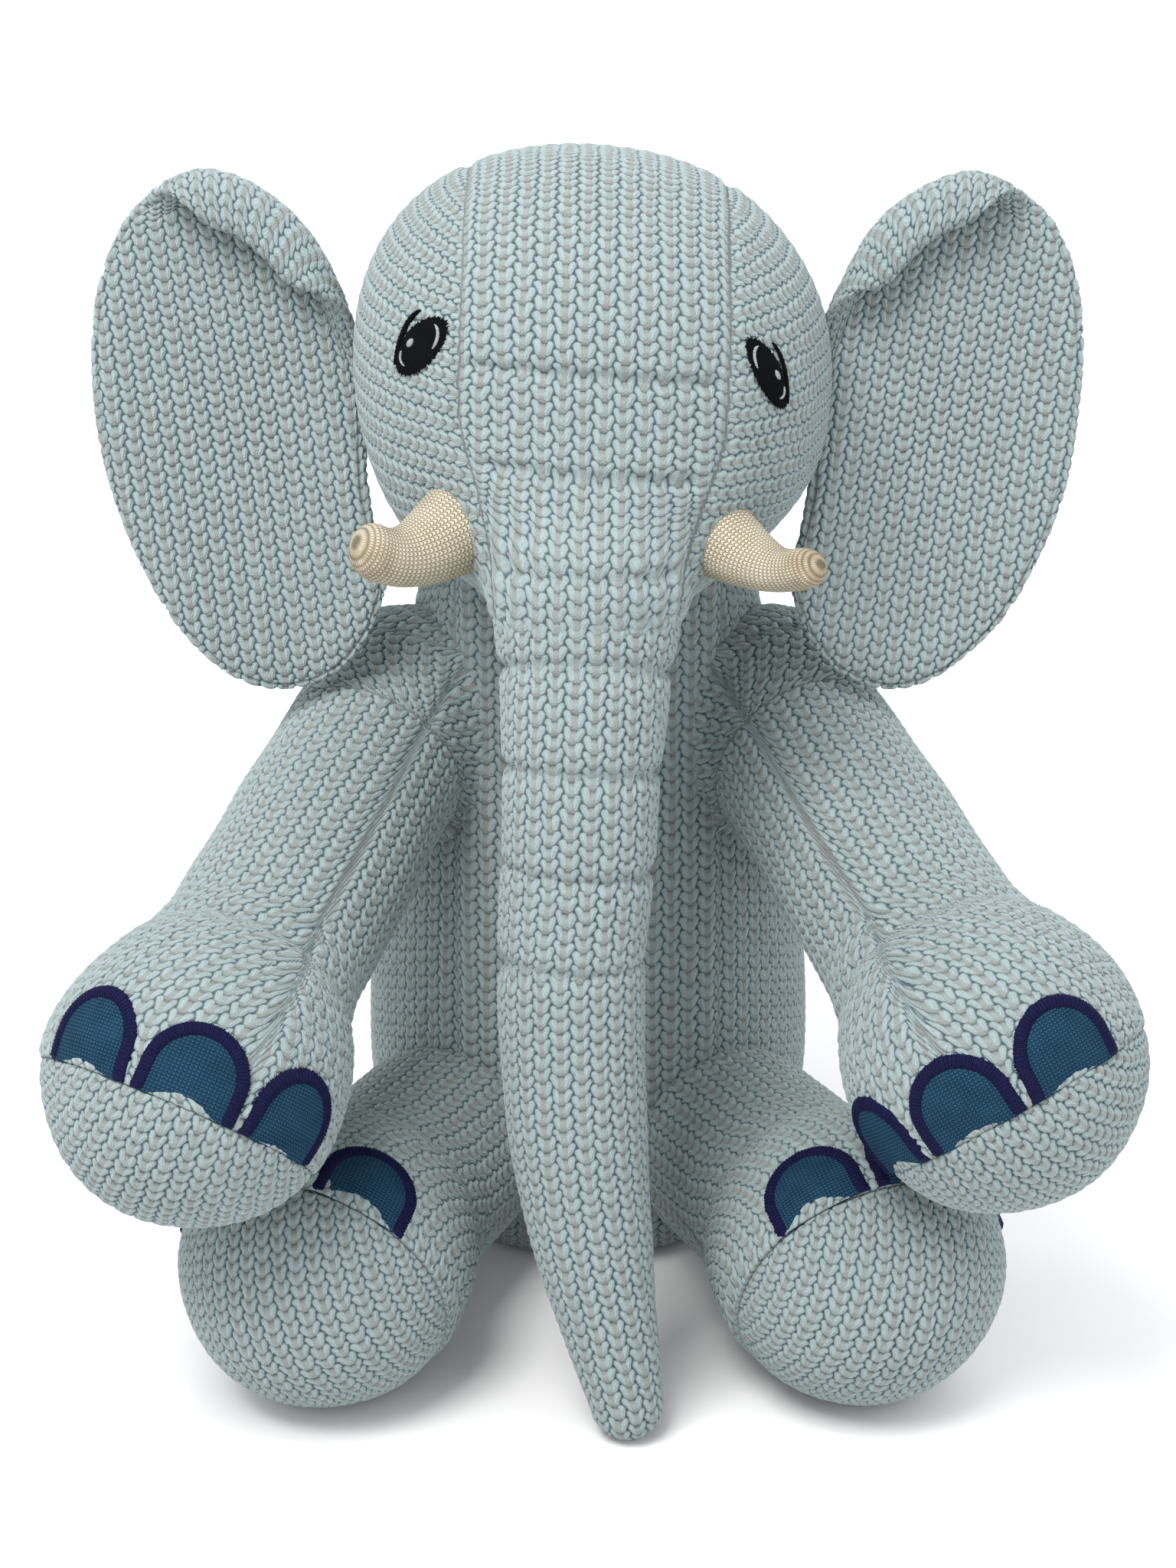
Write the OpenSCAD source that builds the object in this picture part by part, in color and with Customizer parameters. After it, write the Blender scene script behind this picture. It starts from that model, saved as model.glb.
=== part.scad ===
// Stuffed knitted elephant, sitting, built from sewn covers, fillings and appliqued trims.
// Millimetres. +Z is up, the elephant looks along -Y and its own left side is +X.
// The seat, both hind feet and the trunk tip stand on the plane Z = 0.

/* [Cloth] */
// Thickness of the chunky knitted cover
knit_t = 2.4; // [1.5:0.1:3]
// Thickness of the fine jersey on tusks
jersey_t = 1.0; // [0.6:0.1:1.5]
// Room between a cover and its filling
slack = 0.3; // [0.2:0.1:0.6]
// Room between two bodies that turn in each other
joint_gap = 0.6; // [0.4:0.1:1]

/* [Body] */
// Largest radius of the belly
body_r = 59; // [55:1:60]
// Height of the widest ring of the belly
belly_z = 46; // [40:1:50]
// Radius of the flat seat
seat_r = 42; // [38:1:46]
// Radius at the neck seam
neck_r = 44; // [36:1:46]
// Height of the shoulders under the neck
body_top = 182; // [178:1:184]
// How far the body's axis stands behind the middle of the part
body_y = 47; // [45:1:49]
// Half width of the belly panel between its two seams
belly_half = 34; // [30:1:38]
// Radius of the bag of pellets in the seat
pellet_r = 28; // [22:1:29]

/* [Head] */
// Largest radius of the head
head_r = 57; // [54:1:58]
// Half height of the head
head_h = 53; // [50:1:54]
// Half width of the forehead panel
gusset_half = 33; // [28:1:36]
// Radius of the ball at the neck
neck_ball_r = 24; // [22:0.5:25]

/* [Trunk] */
// Radius of the trunk at the chin
trunk_r = 22.5; // [21:0.5:23]
// Radius of the trunk's blunt tip
trunk_tip_r = 8.8; // [8:0.2:9.4]

/* [Ears] */
// Half width of an ear
ear_half_w = 35; // [31:1:36]
// Half height of an ear
ear_half_h = 61.5; // [55:0.5:62]
// Half thickness of the ear's wadding
ear_pad = 3.2; // [2:0.1:3.6]
// How far the rim curls forward of the middle
ear_cup = 8; // [4:1:10]

/* [Tusks] */
// Radius of a tusk at its root
tusk_r = 10; // [9:0.5:10.5]
// Radius of a tusk's tip
tusk_tip_r = 5; // [3.6:0.2:5]

/* [Legs] */
// Radius of a front leg
front_leg_r = 24.5; // [22:0.5:25]
// Radius of a hind leg
hind_leg_r = 27; // [25:0.5:28]
// Radius of a front foot
front_foot_r = 35; // [33:0.5:35]
// Radius of a hind foot
hind_foot_r = 35; // [33:0.5:35]
// Distance from a front foot's centre to its sole seam
front_sole_seam = 10; // [8:1:14]
// Distance from a hind foot's centre to its sole seam
hind_sole_seam = 5; // [3:1:8]

/* [Nails] */
// Width of a nail with its satin border
nail_w = 25; // [22:1:26]
// Height of a nail with its satin border
nail_h = 19.5; // [17:0.5:21]
// Width of the satin border
border_w = 3.6; // [2.5:0.1:4.5]
// Angle between neighbouring nails
nail_step = 45; // [43:1:50]

/* [Tail] */
// Radius of the tail at its root
tail_r = 5; // [4:0.5:6]
// Length of the tail
tail_l = 58; // [40:1:60]

/* [Hidden] */
$fn = 72;
knit = [0.66, 0.76, 0.79];
cream = [0.85, 0.81, 0.72];
teal = [0.16, 0.34, 0.46];
navy = [0.13, 0.14, 0.34];
thread = [0.08, 0.08, 0.10];
wool = [0.93, 0.92, 0.88];
pellets = [0.75, 0.72, 0.62];

// Reach past any solid, for cuts by a plane
far = 900;
// Room between trims and the cloth they are sewn to
stitch_gap = 0.05;
profile_steps = 22;

neck_p = [0, 25, 190];
head_p = [0, 5, 241];
head_power = 2.3;
muzzle_from = [0, -11, 230];
muzzle_r = 35;

// Hinge points of the trunk, at its pinched tucks, and the centre of its tip
trunk_p = [
    [0, -49, 205], [-0.5, -56, 188], [-1.4, -62, 166],
    [-2.3, -66, 143], [-4, -70, 121], [9.5, -84, trunk_tip_r]
];
trunk_n = 5;
// Height left free above a trunk hinge, so that a link can swing forward under its neighbour
trunk_relief = 0.42;

shoulder_x = 47;
shoulder_y = 29;
shoulder_z = 148;
hip_x = 39;
hip_y = -3;

// Foot centres and the directions in which the soles face: right (-X) first, then left (+X)
front_foot_p = [[-91, -88, 99], [94.5, -86, 102]];
hind_foot_p = [[-65, -62, hind_foot_r], [67, -61, hind_foot_r]];
front_sole_dir = [[-0.38, -0.52, -0.76], [0.5, -0.37, -0.78]];
hind_sole_dir = [[-0.33, -0.86, -0.38], [0.33, -0.86, -0.38]];
// How far round its foot the middle nail is turned from straight up
front_nail_turn = [38, -72];
hind_nail_turn = [-15, 13];

ear_c = [-83.5, 11, 225];
ear_lean = 0.16;
ear_tilt = 0.2;
ear_root_x = -58.5;
ear_power = 2.3;
ear_steps = 32;
ear_rings = [0.3, 0.6, 0.82, 0.94, 1];
wadding_rings = [0.3, 0.58, 0.78, 0.9];

eye_w = 12;
eye_h = 16.5;
eye_p = [39, -34, 258];
eye_azimuth = 44;
eye_rise = 16;
eye_roll = 30;
eye_t = 0.9;

tusk_root = [28, -34, 214];
tusk_bend = [40, -48, 211];
tusk_tip = [49, -55.5, 213.8];

tail_p = [0, 112, 62];
tail_dir = [0, 0.12, -1];

side_names = ["right", "left"];
limb_kinds = ["cover", "sole", "filling", "nails", "nail_borders"];

function side_x(side) = side == 0 ? -1 : 1;
function shoulder(side) = [side_x(side) * shoulder_x, shoulder_y, shoulder_z];
function hip(side) = [side_x(side) * hip_x, hip_y, hind_foot_r];

// Trunk radius at a hinge: a quick taper under the chin, then a long even tube, then the thin tip
function link_r(i) = [trunk_r, 20, 18.2, 17.6, 17.2, trunk_tip_r][i];

// Radius of the pear-shaped body at height z: an ellipse below the belly ring, a soft S above it
function body_radius(z) =
    z < belly_z
    ? seat_r + (body_r - seat_r) * sqrt(1 - pow((belly_z - z) / belly_z, 2))
    : neck_r + (body_r - neck_r) * pow((1 + cos(180 * (z - belly_z) / (body_top - belly_z))) / 2, 0.8);

// Radius of the head at height z over its centre, for the given half width and half height
function head_radius(z, r, h) = r * pow(max(0, 1 - pow(abs(z) / h, head_power)), 1 / head_power);

// Turns +Z to the direction of v
module point_along(v) {
    rotate([0, acos(v[2] / norm(v)), atan2(v[1], v[0])]) children();
}

// Round rod from point a to point b
module rod(a, b, r1, r2) {
    translate(a) point_along(b - a) cylinder(h = norm(b - a), r1 = r1, r2 = r2);
}

module ball(p, r) {
    translate(p) sphere(r);
}

// Everything on the far side of the plane through p, on the side to which dir points
module half_space(p, dir) {
    translate(p) point_along(dir) translate([-far / 2, -far / 2, 0]) cube(far);
}

// The body, pulled in all round by inset: a pear with a ball neck and round seats for the limbs
module body_form(inset) {
    difference() {
        union() {
            translate([0, body_y, 0])
                rotate_extrude()
                polygon(concat(
                    [[0, inset]],
                    [for (i = [0:profile_steps])
                        let (z = inset + (body_top - 2 * inset) * i / profile_steps)
                        [body_radius(z) - inset, z]],
                    [[0, body_top - inset]]));
            ball(neck_p, neck_ball_r - inset);
        }
        for (side = [0, 1]) {
            ball(shoulder(side), front_leg_r + joint_gap + inset);
            arm_trough(side, inset);
            ball(hip(side), hind_leg_r + joint_gap + inset);
        }
    }
}

// The hollow in the body's side in which the upper half of a front leg lies
module arm_trough(side, inset) {
    from = shoulder(side);
    to = (from + front_foot_p[side]) / 2;
    rod(from, to, front_leg_r + joint_gap + inset, front_leg_r + 1 + joint_gap + inset);
}
module body_cloth() {
    difference() {
        body_form(0);
        body_form(knit_t);
    }
}

module belly_block() {
    translate([-belly_half, body_y - far, knit_t]) cube([2 * belly_half, far, far]);
}

module belly_panel() {
    color(knit) intersection() {
        body_cloth();
        belly_block();
    }
}

module body_side(side) {
    color(knit) difference() {
        body_cloth();
        belly_block();
        half_space([0, 0, 0], [-side_x(side), 0, 0]);
        half_space([0, 0, knit_t], [0, 0, -1]);
    }
}

module seat_panel() {
    color(knit) intersection() {
        body_cloth();
        half_space([0, 0, knit_t], [0, 0, -1]);
    }
}

// The pellet bag is a flat round cushion
module pellet_form(grow) {
    translate([0, body_y + 6, 26])
        rotate_extrude()
        polygon([for (i = [0:profile_steps])
            let (a = -90 + 180 * i / profile_steps)
            [(pellet_r + grow) * cos(a), (17 + grow) * sin(a)]]);
}

module body_filling() {
    color(wool) difference() {
        body_form(knit_t + slack);
        pellet_form(slack);
    }
}

module pellet_bag() {
    color(pellets) pellet_form(0);
}

// The head, pulled in by inset: a round-cornered globe that runs forward into the trunk's root
module head_form(inset) {
    difference() {
        union() {
            translate(head_p)
                rotate_extrude()
                polygon([for (i = [0:2 * profile_steps])
                    let (z = (head_h - inset) * sin(-90 + 90 * i / profile_steps))
                    [head_radius(z, head_r - inset, head_h - inset), z]]);
            muzzle(inset);
        }
        ball(neck_p, neck_ball_r + joint_gap + inset);
        ball(trunk_p[0], trunk_r + joint_gap + inset);
        half_space(muzzle_end(inset), trunk_p[0] - muzzle_from);
    }
}

// Where the muzzle stops short of the first trunk hinge
function muzzle_end(inset) =
    trunk_p[0] - (trunk_relief * trunk_r + inset) * (trunk_p[0] - muzzle_from) / norm(trunk_p[0] - muzzle_from);

module muzzle(inset) {
    rod(muzzle_from, trunk_p[0], muzzle_r - inset, trunk_r + 1 - inset);
}

module head_cloth() {
    difference() {
        head_form(0);
        head_form(knit_t);
    }
}

module gusset_block() {
    translate([-gusset_half, -far / 2, 0]) cube([2 * gusset_half, far, far]);
}

module head_gusset() {
    color(knit) intersection() {
        head_cloth();
        gusset_block();
    }
}

module head_side(side) {
    color(knit) intersection() {
        head_cloth();
        half_space([side_x(side) * gusset_half, 0, 0], [side_x(side), 0, 0]);
    }
}

module head_filling() {
    color(wool) head_form(knit_t + slack);
}

// An upright oval of satin stitches lying on the side panel
module eye(side) {
    color(thread) intersection() {
        difference() {
            head_globe(eye_t);
            head_globe(stitch_gap);
        }
        mirror([1 - side, 0, 0])
            translate(eye_p)
            rotate([-eye_rise, 0, eye_azimuth])
            rotate([90, 0, 0])
            rotate([0, 0, eye_roll])
            translate([0, 0, -8])
            linear_extrude(16)
            polygon([for (a = [0:15:345]) [eye_w / 2 * cos(a), eye_h / 2 * sin(a)]]);
    }
}

module head_globe(grow) {
    translate(head_p)
        rotate_extrude()
        polygon([for (i = [0:2 * profile_steps])
            let (z = (head_h + grow) * sin(-90 + 90 * i / profile_steps))
            [head_radius(z, head_r + grow, head_h + grow), z]]);
}

// A blunt horn in two straight lengths, seated on the head
module tusk_form(inset) {
    difference() {
        union() {
            rod(tusk_root, tusk_bend, tusk_r - inset, 0.82 * tusk_r - inset);
            ball(tusk_bend, 0.82 * tusk_r - inset - 0.05);
            rod(tusk_bend, tusk_tip, 0.8 * tusk_r - inset, tusk_tip_r - inset);
            ball(tusk_tip, tusk_tip_r - inset - 0.05);
        }
        head_globe(stitch_gap + inset);
        muzzle(-stitch_gap - inset);
    }
}

module tusk(side) {
    color(cream) mirror([1 - side, 0, 0]) difference() {
        tusk_form(0);
        tusk_form(jersey_t);
    }
}

module tusk_filling(side) {
    color(wool) mirror([1 - side, 0, 0]) tusk_form(jersey_t + slack / 2);
}

// A point of the right ear's middle surface: an egg that leans outward at the top, is cut
// straight along its root, tilts forward at the bottom and cups forward at the rim
function ear_point(rho, a, off) =
    let (
        c = cos(a), s = sin(a),
        x0 = ear_half_w * sign(c) * pow(abs(c), 2 / ear_power),
        z0 = ear_half_h * sign(s) * pow(abs(s), 2 / ear_power),
        x1 = min(ear_c[0] - ear_lean * z0 + x0, ear_root_x),
        x = ear_c[0] + rho * (x1 - ear_c[0]),
        z = rho * z0,
        y = ear_c[1] + ear_tilt * z - ear_cup * (rho * rho - 0.4)
    )
    [x, y + off, ear_c[2] + z];

function ear_thickness(rho) = ear_pad * (1 - pow(rho, 3));

// A closed plate between two offset copies of the ear's middle surface
module ear_plate(rings, low, high) {
    n = len(rings);
    m = ear_steps;
    points = [
        for (off = [low, high])
            each concat(
                [ear_point(0, 0, off[0] * ear_thickness(0) + off[1])],
                [for (k = [0:n - 1], j = [0:m - 1])
                    ear_point(rings[k], 360 * j / m, off[0] * ear_thickness(rings[k]) + off[1])])
    ];
    half = 1 + n * m;
    faces = [
        for (j = [0:m - 1]) let (j2 = (j + 1) % m) each [
            [0, 1 + j, 1 + j2],
            [half, half + 1 + j2, half + 1 + j],
            for (k = [0:n - 2]) each [
                [1 + k * m + j, 1 + (k + 1) * m + j, 1 + (k + 1) * m + j2],
                [1 + k * m + j, 1 + (k + 1) * m + j2, 1 + k * m + j2],
                [half + 1 + k * m + j, half + 1 + (k + 1) * m + j2, half + 1 + (k + 1) * m + j],
                [half + 1 + k * m + j, half + 1 + k * m + j2, half + 1 + (k + 1) * m + j2]
            ],
            [1 + (n - 1) * m + j, half + 1 + (n - 1) * m + j, half + 1 + (n - 1) * m + j2],
            [1 + (n - 1) * m + j, half + 1 + (n - 1) * m + j2, 1 + (n - 1) * m + j2]
        ]
    ];
    polyhedron(points, faces);
}

module ear_front(side) {
    color(knit) mirror([side, 0, 0]) ear_plate(ear_rings, [-1, -knit_t], [-1, -stitch_gap]);
}

module ear_back(side) {
    color(knit) mirror([side, 0, 0]) ear_plate(ear_rings, [1, stitch_gap], [1, knit_t]);
}

module ear_wadding(side) {
    color(wool) mirror([side, 0, 0]) ear_plate(wadding_rings, [-0.9, 0], [0.9, 0]);
}

// One link of the trunk, pulled in by inset: a ball in the seat of the link above, then a taper
module link_form(i, inset) {
    a = trunk_p[i];
    b = trunk_p[i + 1];
    dir = (b - a) / norm(b - a);
    last = i == trunk_n - 1;
    difference() {
        union() {
            ball(a, link_r(i) - 0.8 - inset);
            rod(a, b, link_r(i) - inset, link_r(i + 1) - inset);
            if (last) ball(b, trunk_tip_r - 0.05 - inset);
        }
        if (!last) {
            ball(b, link_r(i + 1) + joint_gap + inset);
            half_space(b - (trunk_relief * link_r(i + 1) + inset) * dir, dir);
        }
    }
}

module trunk_cover(i) {
    color(knit) difference() {
        link_form(i, 0);
        link_form(i, knit_t);
    }
}

module trunk_filling(i) {
    color(wool) link_form(i, knit_t + slack);
}

// A leg, pulled in by inset: a ball in the body's seat, a tube and a round foot
module limb_form(root, foot, leg_r, foot_r, inset) {
    ball(root, leg_r - 0.4 - inset);
    rod(root, foot, leg_r - inset, leg_r + 2 - inset);
    ball(foot, foot_r - inset);
}

module limb_cloth(root, foot, leg_r, foot_r) {
    difference() {
        limb_form(root, foot, leg_r, foot_r, 0);
        limb_form(root, foot, leg_r, foot_r, knit_t);
    }
}

// Outline of a nail: an arch that stands on the sole seam
module nail_outline(w, h) {
    translate([-w / 2, 0]) square([w, h - w / 2]);
    translate([0, h - w / 2]) circle(w / 2);
}

// Three nail shapes on the foot, cut from a thin skin of the given thickness
module nail_skin(foot, foot_r, sole_dir, sole_seam, turn, thickness) {
    intersection() {
        difference() {
            ball(foot, foot_r + thickness);
            ball(foot, foot_r + stitch_gap);
        }
        translate(foot)
            point_along(-sole_dir)
            rotate([0, 0, 180 + turn])
            for (k = [-1:1])
                rotate([0, 0, k * nail_step])
                translate([0, 0, -sole_seam])
                rotate([90, 0, 90])
                linear_extrude(foot_r + 4)
                children();
    }
}

module limb(kind, root, foot, leg_r, foot_r, sole_dir, sole_seam, turn) {
    seam = foot + sole_seam * sole_dir / norm(sole_dir);
    inner_w = nail_w - 2 * border_w;
    inner_h = nail_h - border_w;
    if (kind == "cover")
        color(knit) difference() {
            limb_cloth(root, foot, leg_r, foot_r);
            half_space(seam, sole_dir);
        }
    if (kind == "sole")
        color(knit) intersection() {
            limb_cloth(root, foot, leg_r, foot_r);
            half_space(seam, sole_dir);
        }
    if (kind == "filling")
        color(wool) limb_form(root, foot, leg_r, foot_r, knit_t + slack);
    if (kind == "nails")
        color(teal) nail_skin(foot, foot_r, sole_dir, sole_seam, turn, 0.8)
            nail_outline(inner_w - 0.2, inner_h - 0.1);
    if (kind == "nail_borders")
        color(navy) nail_skin(foot, foot_r, sole_dir, sole_seam, turn, 1.2)
            difference() {
                nail_outline(nail_w, nail_h);
                translate([0, -1]) nail_outline(inner_w, inner_h + 1);
            }
}

module front_leg(side, kind) {
    limb(kind, shoulder(side), front_foot_p[side], front_leg_r, front_foot_r,
        front_sole_dir[side], front_sole_seam, front_nail_turn[side]);
}

module hind_leg(side, kind) {
    limb(kind, hip(side), hind_foot_p[side], hind_leg_r, hind_foot_r,
        hind_sole_dir[side], hind_sole_seam, hind_nail_turn[side]);
}

module tail_form(inset) {
    end = tail_p + tail_l * tail_dir / norm(tail_dir);
    rod(tail_p, end, tail_r - inset, 0.7 * tail_r - inset);
    ball(end, 0.7 * tail_r - inset - 0.05);
}

module tail_cover() {
    color(knit) difference() {
        tail_form(0);
        tail_form(jersey_t);
    }
}

module tail_filling() {
    color(wool) tail_form(jersey_t + slack);
}

belly_panel();
seat_panel();
body_filling();
pellet_bag();
head_gusset();
head_filling();
for (side = [0, 1]) {
    name = side_names[side];
    body_side(side);
    head_side(side);
    eye(side);
    tusk(side);
    tusk_filling(side);
    ear_front(side);
    ear_back(side);
    ear_wadding(side);
    for (kind = limb_kinds) {
        front_leg(side, kind);
        hind_leg(side, kind);
    }
}
for (i = [0:trunk_n - 1]) {
    trunk_cover(i);
    trunk_filling(i);
}
tail_cover();
tail_filling();
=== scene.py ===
import math
import bpy
import numpy as np
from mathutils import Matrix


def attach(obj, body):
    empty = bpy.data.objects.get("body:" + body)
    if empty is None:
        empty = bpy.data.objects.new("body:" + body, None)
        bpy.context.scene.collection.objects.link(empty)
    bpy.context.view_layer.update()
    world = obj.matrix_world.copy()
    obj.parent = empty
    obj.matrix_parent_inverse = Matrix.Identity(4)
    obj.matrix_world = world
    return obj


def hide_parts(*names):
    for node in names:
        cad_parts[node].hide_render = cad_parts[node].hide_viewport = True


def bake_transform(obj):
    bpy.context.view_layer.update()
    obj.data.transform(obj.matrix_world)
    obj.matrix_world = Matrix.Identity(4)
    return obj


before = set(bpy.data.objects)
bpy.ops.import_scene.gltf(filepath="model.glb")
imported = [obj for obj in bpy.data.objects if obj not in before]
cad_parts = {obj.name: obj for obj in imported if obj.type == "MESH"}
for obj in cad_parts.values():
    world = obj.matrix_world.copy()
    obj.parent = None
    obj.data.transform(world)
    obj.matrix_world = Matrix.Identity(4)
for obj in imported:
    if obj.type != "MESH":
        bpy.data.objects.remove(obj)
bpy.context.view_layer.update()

# The stand: a camera a little above the toy and straight in front of it, a pale sheet that
# runs under and behind it, and soft studio lamps: a key above, a fill at one side, one behind.
scene = bpy.context.scene
scene.view_settings.view_transform = "Standard"
CAMERA_RISE = math.radians(22)
CAMERA_AWAY = 0.9
AIM = (0.0, 0.033, 0.123)
camera_data = bpy.data.cameras.new("camera")
camera_data.lens = 79.1
camera_data.sensor_width = 36.0
camera = bpy.data.objects.new("camera", camera_data)
camera.location = (AIM[0], AIM[1] - CAMERA_AWAY * math.cos(CAMERA_RISE),
                   AIM[2] + CAMERA_AWAY * math.sin(CAMERA_RISE))
camera.rotation_euler = (math.pi / 2 - CAMERA_RISE, 0, 0)
scene.collection.objects.link(camera)
scene.camera = camera


def lamp(name, place, aim, size, watts, tint):
    """A square area lamp at place, turned so that its -Z axis points at aim."""
    data = bpy.data.lights.new(name, "AREA")
    data.size = size
    data.energy = watts
    data.color = tint
    lamp_object = bpy.data.objects.new(name, data)
    lamp_object.location = place
    dx, dy, dz = (a - p for a, p in zip(aim, place))
    lamp_object.rotation_euler = (math.atan2(math.hypot(dx, dy), -dz), 0,
                                  math.atan2(dy, dx) - math.pi / 2)
    scene.collection.objects.link(lamp_object)


lamp("key_lamp", (-0.30, -0.55, 1.05), (0, 0, 0.15), 0.5, 13.0, (1.0, 0.985, 0.96))
lamp("fill_lamp", (0.9, -0.5, 0.55), (0, 0, 0.12), 0.9, 1.5, (0.96, 0.98, 1.0))
lamp("back_lamp", (0.2, 1.1, 0.8), (0, 0, 0.12), 0.8, 3.5, (1.0, 1.0, 1.0))

world = bpy.data.worlds.new("studio")
world.use_nodes = True
world.node_tree.nodes["Background"].inputs["Color"].default_value = (0.97, 0.985, 1.0, 1.0)
world.node_tree.nodes["Background"].inputs["Strength"].default_value = 1.28
scene.world = world

floor_x, floor_y = np.meshgrid(np.linspace(-3, 3, 3), np.linspace(-3, 3, 3))
floor_mesh = bpy.data.meshes.new("floor")
floor_mesh.from_pydata(
    np.stack([floor_x.ravel(), floor_y.ravel(), 0 * floor_x.ravel()], 1).tolist(), [],
    [(3 * r + c, 3 * r + c + 1, 3 * r + c + 4, 3 * r + c + 3) for r in (0, 1) for c in (0, 1)])
floor = bpy.data.objects.new("floor", floor_mesh)
scene.collection.objects.link(floor)
floor_paint = bpy.data.materials.new("pale_sheet")
floor_paint.use_nodes = True
floor_paint.node_tree.nodes["Principled BSDF"].inputs["Base Color"].default_value = (0.8, 0.8, 0.8, 1)
floor_paint.node_tree.nodes["Principled BSDF"].inputs["Roughness"].default_value = 0.9
floor_mesh.materials.append(floor_paint)

# The knitted cloth: a chunky two-tone yarn in grey-blue and beige. Each stitch is a rounded
# beige loop that laps over the row below and opens into two pale blue horns, and the wales
# stand half a row off each other. Sizes are in wale widths: WALE mm wide, ROW of that high.
WALE = 4.7
ROW = 0.74
HORN_FROM = np.array([0.19, 0.34])
HORN_TO = np.array([0.345, 0.73])
HORN_R = 0.205
LOOP_AT = 0.37
LOOP_R = 0.37


def unit(v):
    """Vectors brought to length one."""
    return v / np.maximum(np.linalg.norm(v, axis=-1, keepdims=True), 1e-9)


def smooth_step(low, high, x):
    """0 below low, 1 above high and 3t^2 - 2t^3 between, with t the share of the way."""
    t = np.clip((x - low) / (high - low), 0, 1)
    return t * t * (3 - 2 * t)


def stitch_height(u, v):
    """Height of the knit, 0 to 1, at wale u and row v.

    The cell is folded at its wale's middle. Each horn is a round bar along a slanting line and
    each loop a round knob; a bar's height at distance d is sqrt(1 - (d / radius)^2), and the
    highest of the stitch, the one below it and the two half a row off in the next wale counts.
    """
    wale = np.floor(u)
    half = 0.5 * np.mod(wale, 2)
    across = np.abs(u - wale - 0.5)
    along = HORN_TO - HORN_FROM
    top = np.zeros_like(across)
    for shift, side in ((0.0, across), (0.5, 1 - across)):
        base = np.mod(v + half + shift, 1.0) * ROW
        for up in (base, base + ROW):
            t = np.clip(((side - HORN_FROM[0]) * along[0] + (up - HORN_FROM[1]) * along[1])
                        / (along @ along), 0, 1)
            horn = np.hypot(side - HORN_FROM[0] - t * along[0],
                            up - HORN_FROM[1] - t * along[1]) / HORN_R
            loop = np.hypot(side, up - LOOP_AT) / LOOP_R
            top = np.maximum(top, 0.9 * np.sqrt(np.clip(1 - horn ** 2, 0, 1)))
            top = np.maximum(top, np.sqrt(np.clip(1 - loop ** 2, 0, 1)))
    return top


class Recipe:
    """A material's node tree, written as sums: every call adds one node and gives its result."""

    def __init__(self, name):
        self.material = bpy.data.materials.new(name)
        self.material.use_nodes = True
        self.tree = self.material.node_tree
        self.shader = self.tree.nodes["Principled BSDF"]

    def add(self, kind, **settings):
        made = self.tree.nodes.new(kind)
        for key, value in settings.items():
            setattr(made, key, value)
        return made

    def put(self, socket, value):
        if isinstance(value, bpy.types.NodeSocket):
            self.tree.links.new(value, socket)
        else:
            socket.default_value = value

    def sum(self, operation, *values, clamp=False):
        made = self.add("ShaderNodeMath", operation=operation, use_clamp=clamp)
        for socket, value in zip(made.inputs, values):
            self.put(socket, value)
        return made.outputs[0]

    def ramp(self, value, low, high):
        made = self.add("ShaderNodeMapRange", interpolation_type="SMOOTHSTEP")
        self.put(made.inputs["Value"], value)
        self.put(made.inputs["From Min"], low)
        self.put(made.inputs["From Max"], high)
        return made.outputs["Result"]

    def mix(self, share, first, second, blend_type="MIX"):
        made = self.add("ShaderNodeMix", data_type="RGBA", blend_type=blend_type)
        self.put(made.inputs["Factor"], share)
        self.put(made.inputs[6], first)
        self.put(made.inputs[7], second)
        return made.outputs[2]

    def uv(self, name):
        parts = self.add("ShaderNodeSeparateXYZ")
        self.put(parts.inputs[0], self.add("ShaderNodeUVMap", uv_map=name).outputs[0])
        return parts.outputs[0], parts.outputs[1]

    def noise(self, scale, detail=2.0, stretch=None):
        place = self.add("ShaderNodeTexCoord").outputs["Object"]
        if stretch:
            turned = self.add("ShaderNodeMapping")
            self.put(turned.inputs["Vector"], place)
            turned.inputs["Scale"].default_value = stretch
            place = turned.outputs[0]
        made = self.add("ShaderNodeTexNoise")
        self.put(made.inputs["Vector"], place)
        made.inputs["Scale"].default_value = scale
        made.inputs["Detail"].default_value = detail
        return made.outputs["Fac"]

    def bump(self, height, distance, strength=1.0):
        made = self.add("ShaderNodeBump")
        self.put(made.inputs["Height"], height)
        made.inputs["Distance"].default_value = distance
        made.inputs["Strength"].default_value = strength
        self.put(self.shader.inputs["Normal"], made.outputs[0])

    def finish(self, roughness, sheen=0.0, sheen_tint=(1, 1, 1, 1), sheen_roughness=0.5, specular=0.3):
        self.shader.inputs["Roughness"].default_value = roughness
        self.shader.inputs["Specular IOR Level"].default_value = specular
        self.shader.inputs["Sheen Weight"].default_value = sheen
        self.shader.inputs["Sheen Roughness"].default_value = sheen_roughness
        self.shader.inputs["Sheen Tint"].default_value = sheen_tint
        return self.material


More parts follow.
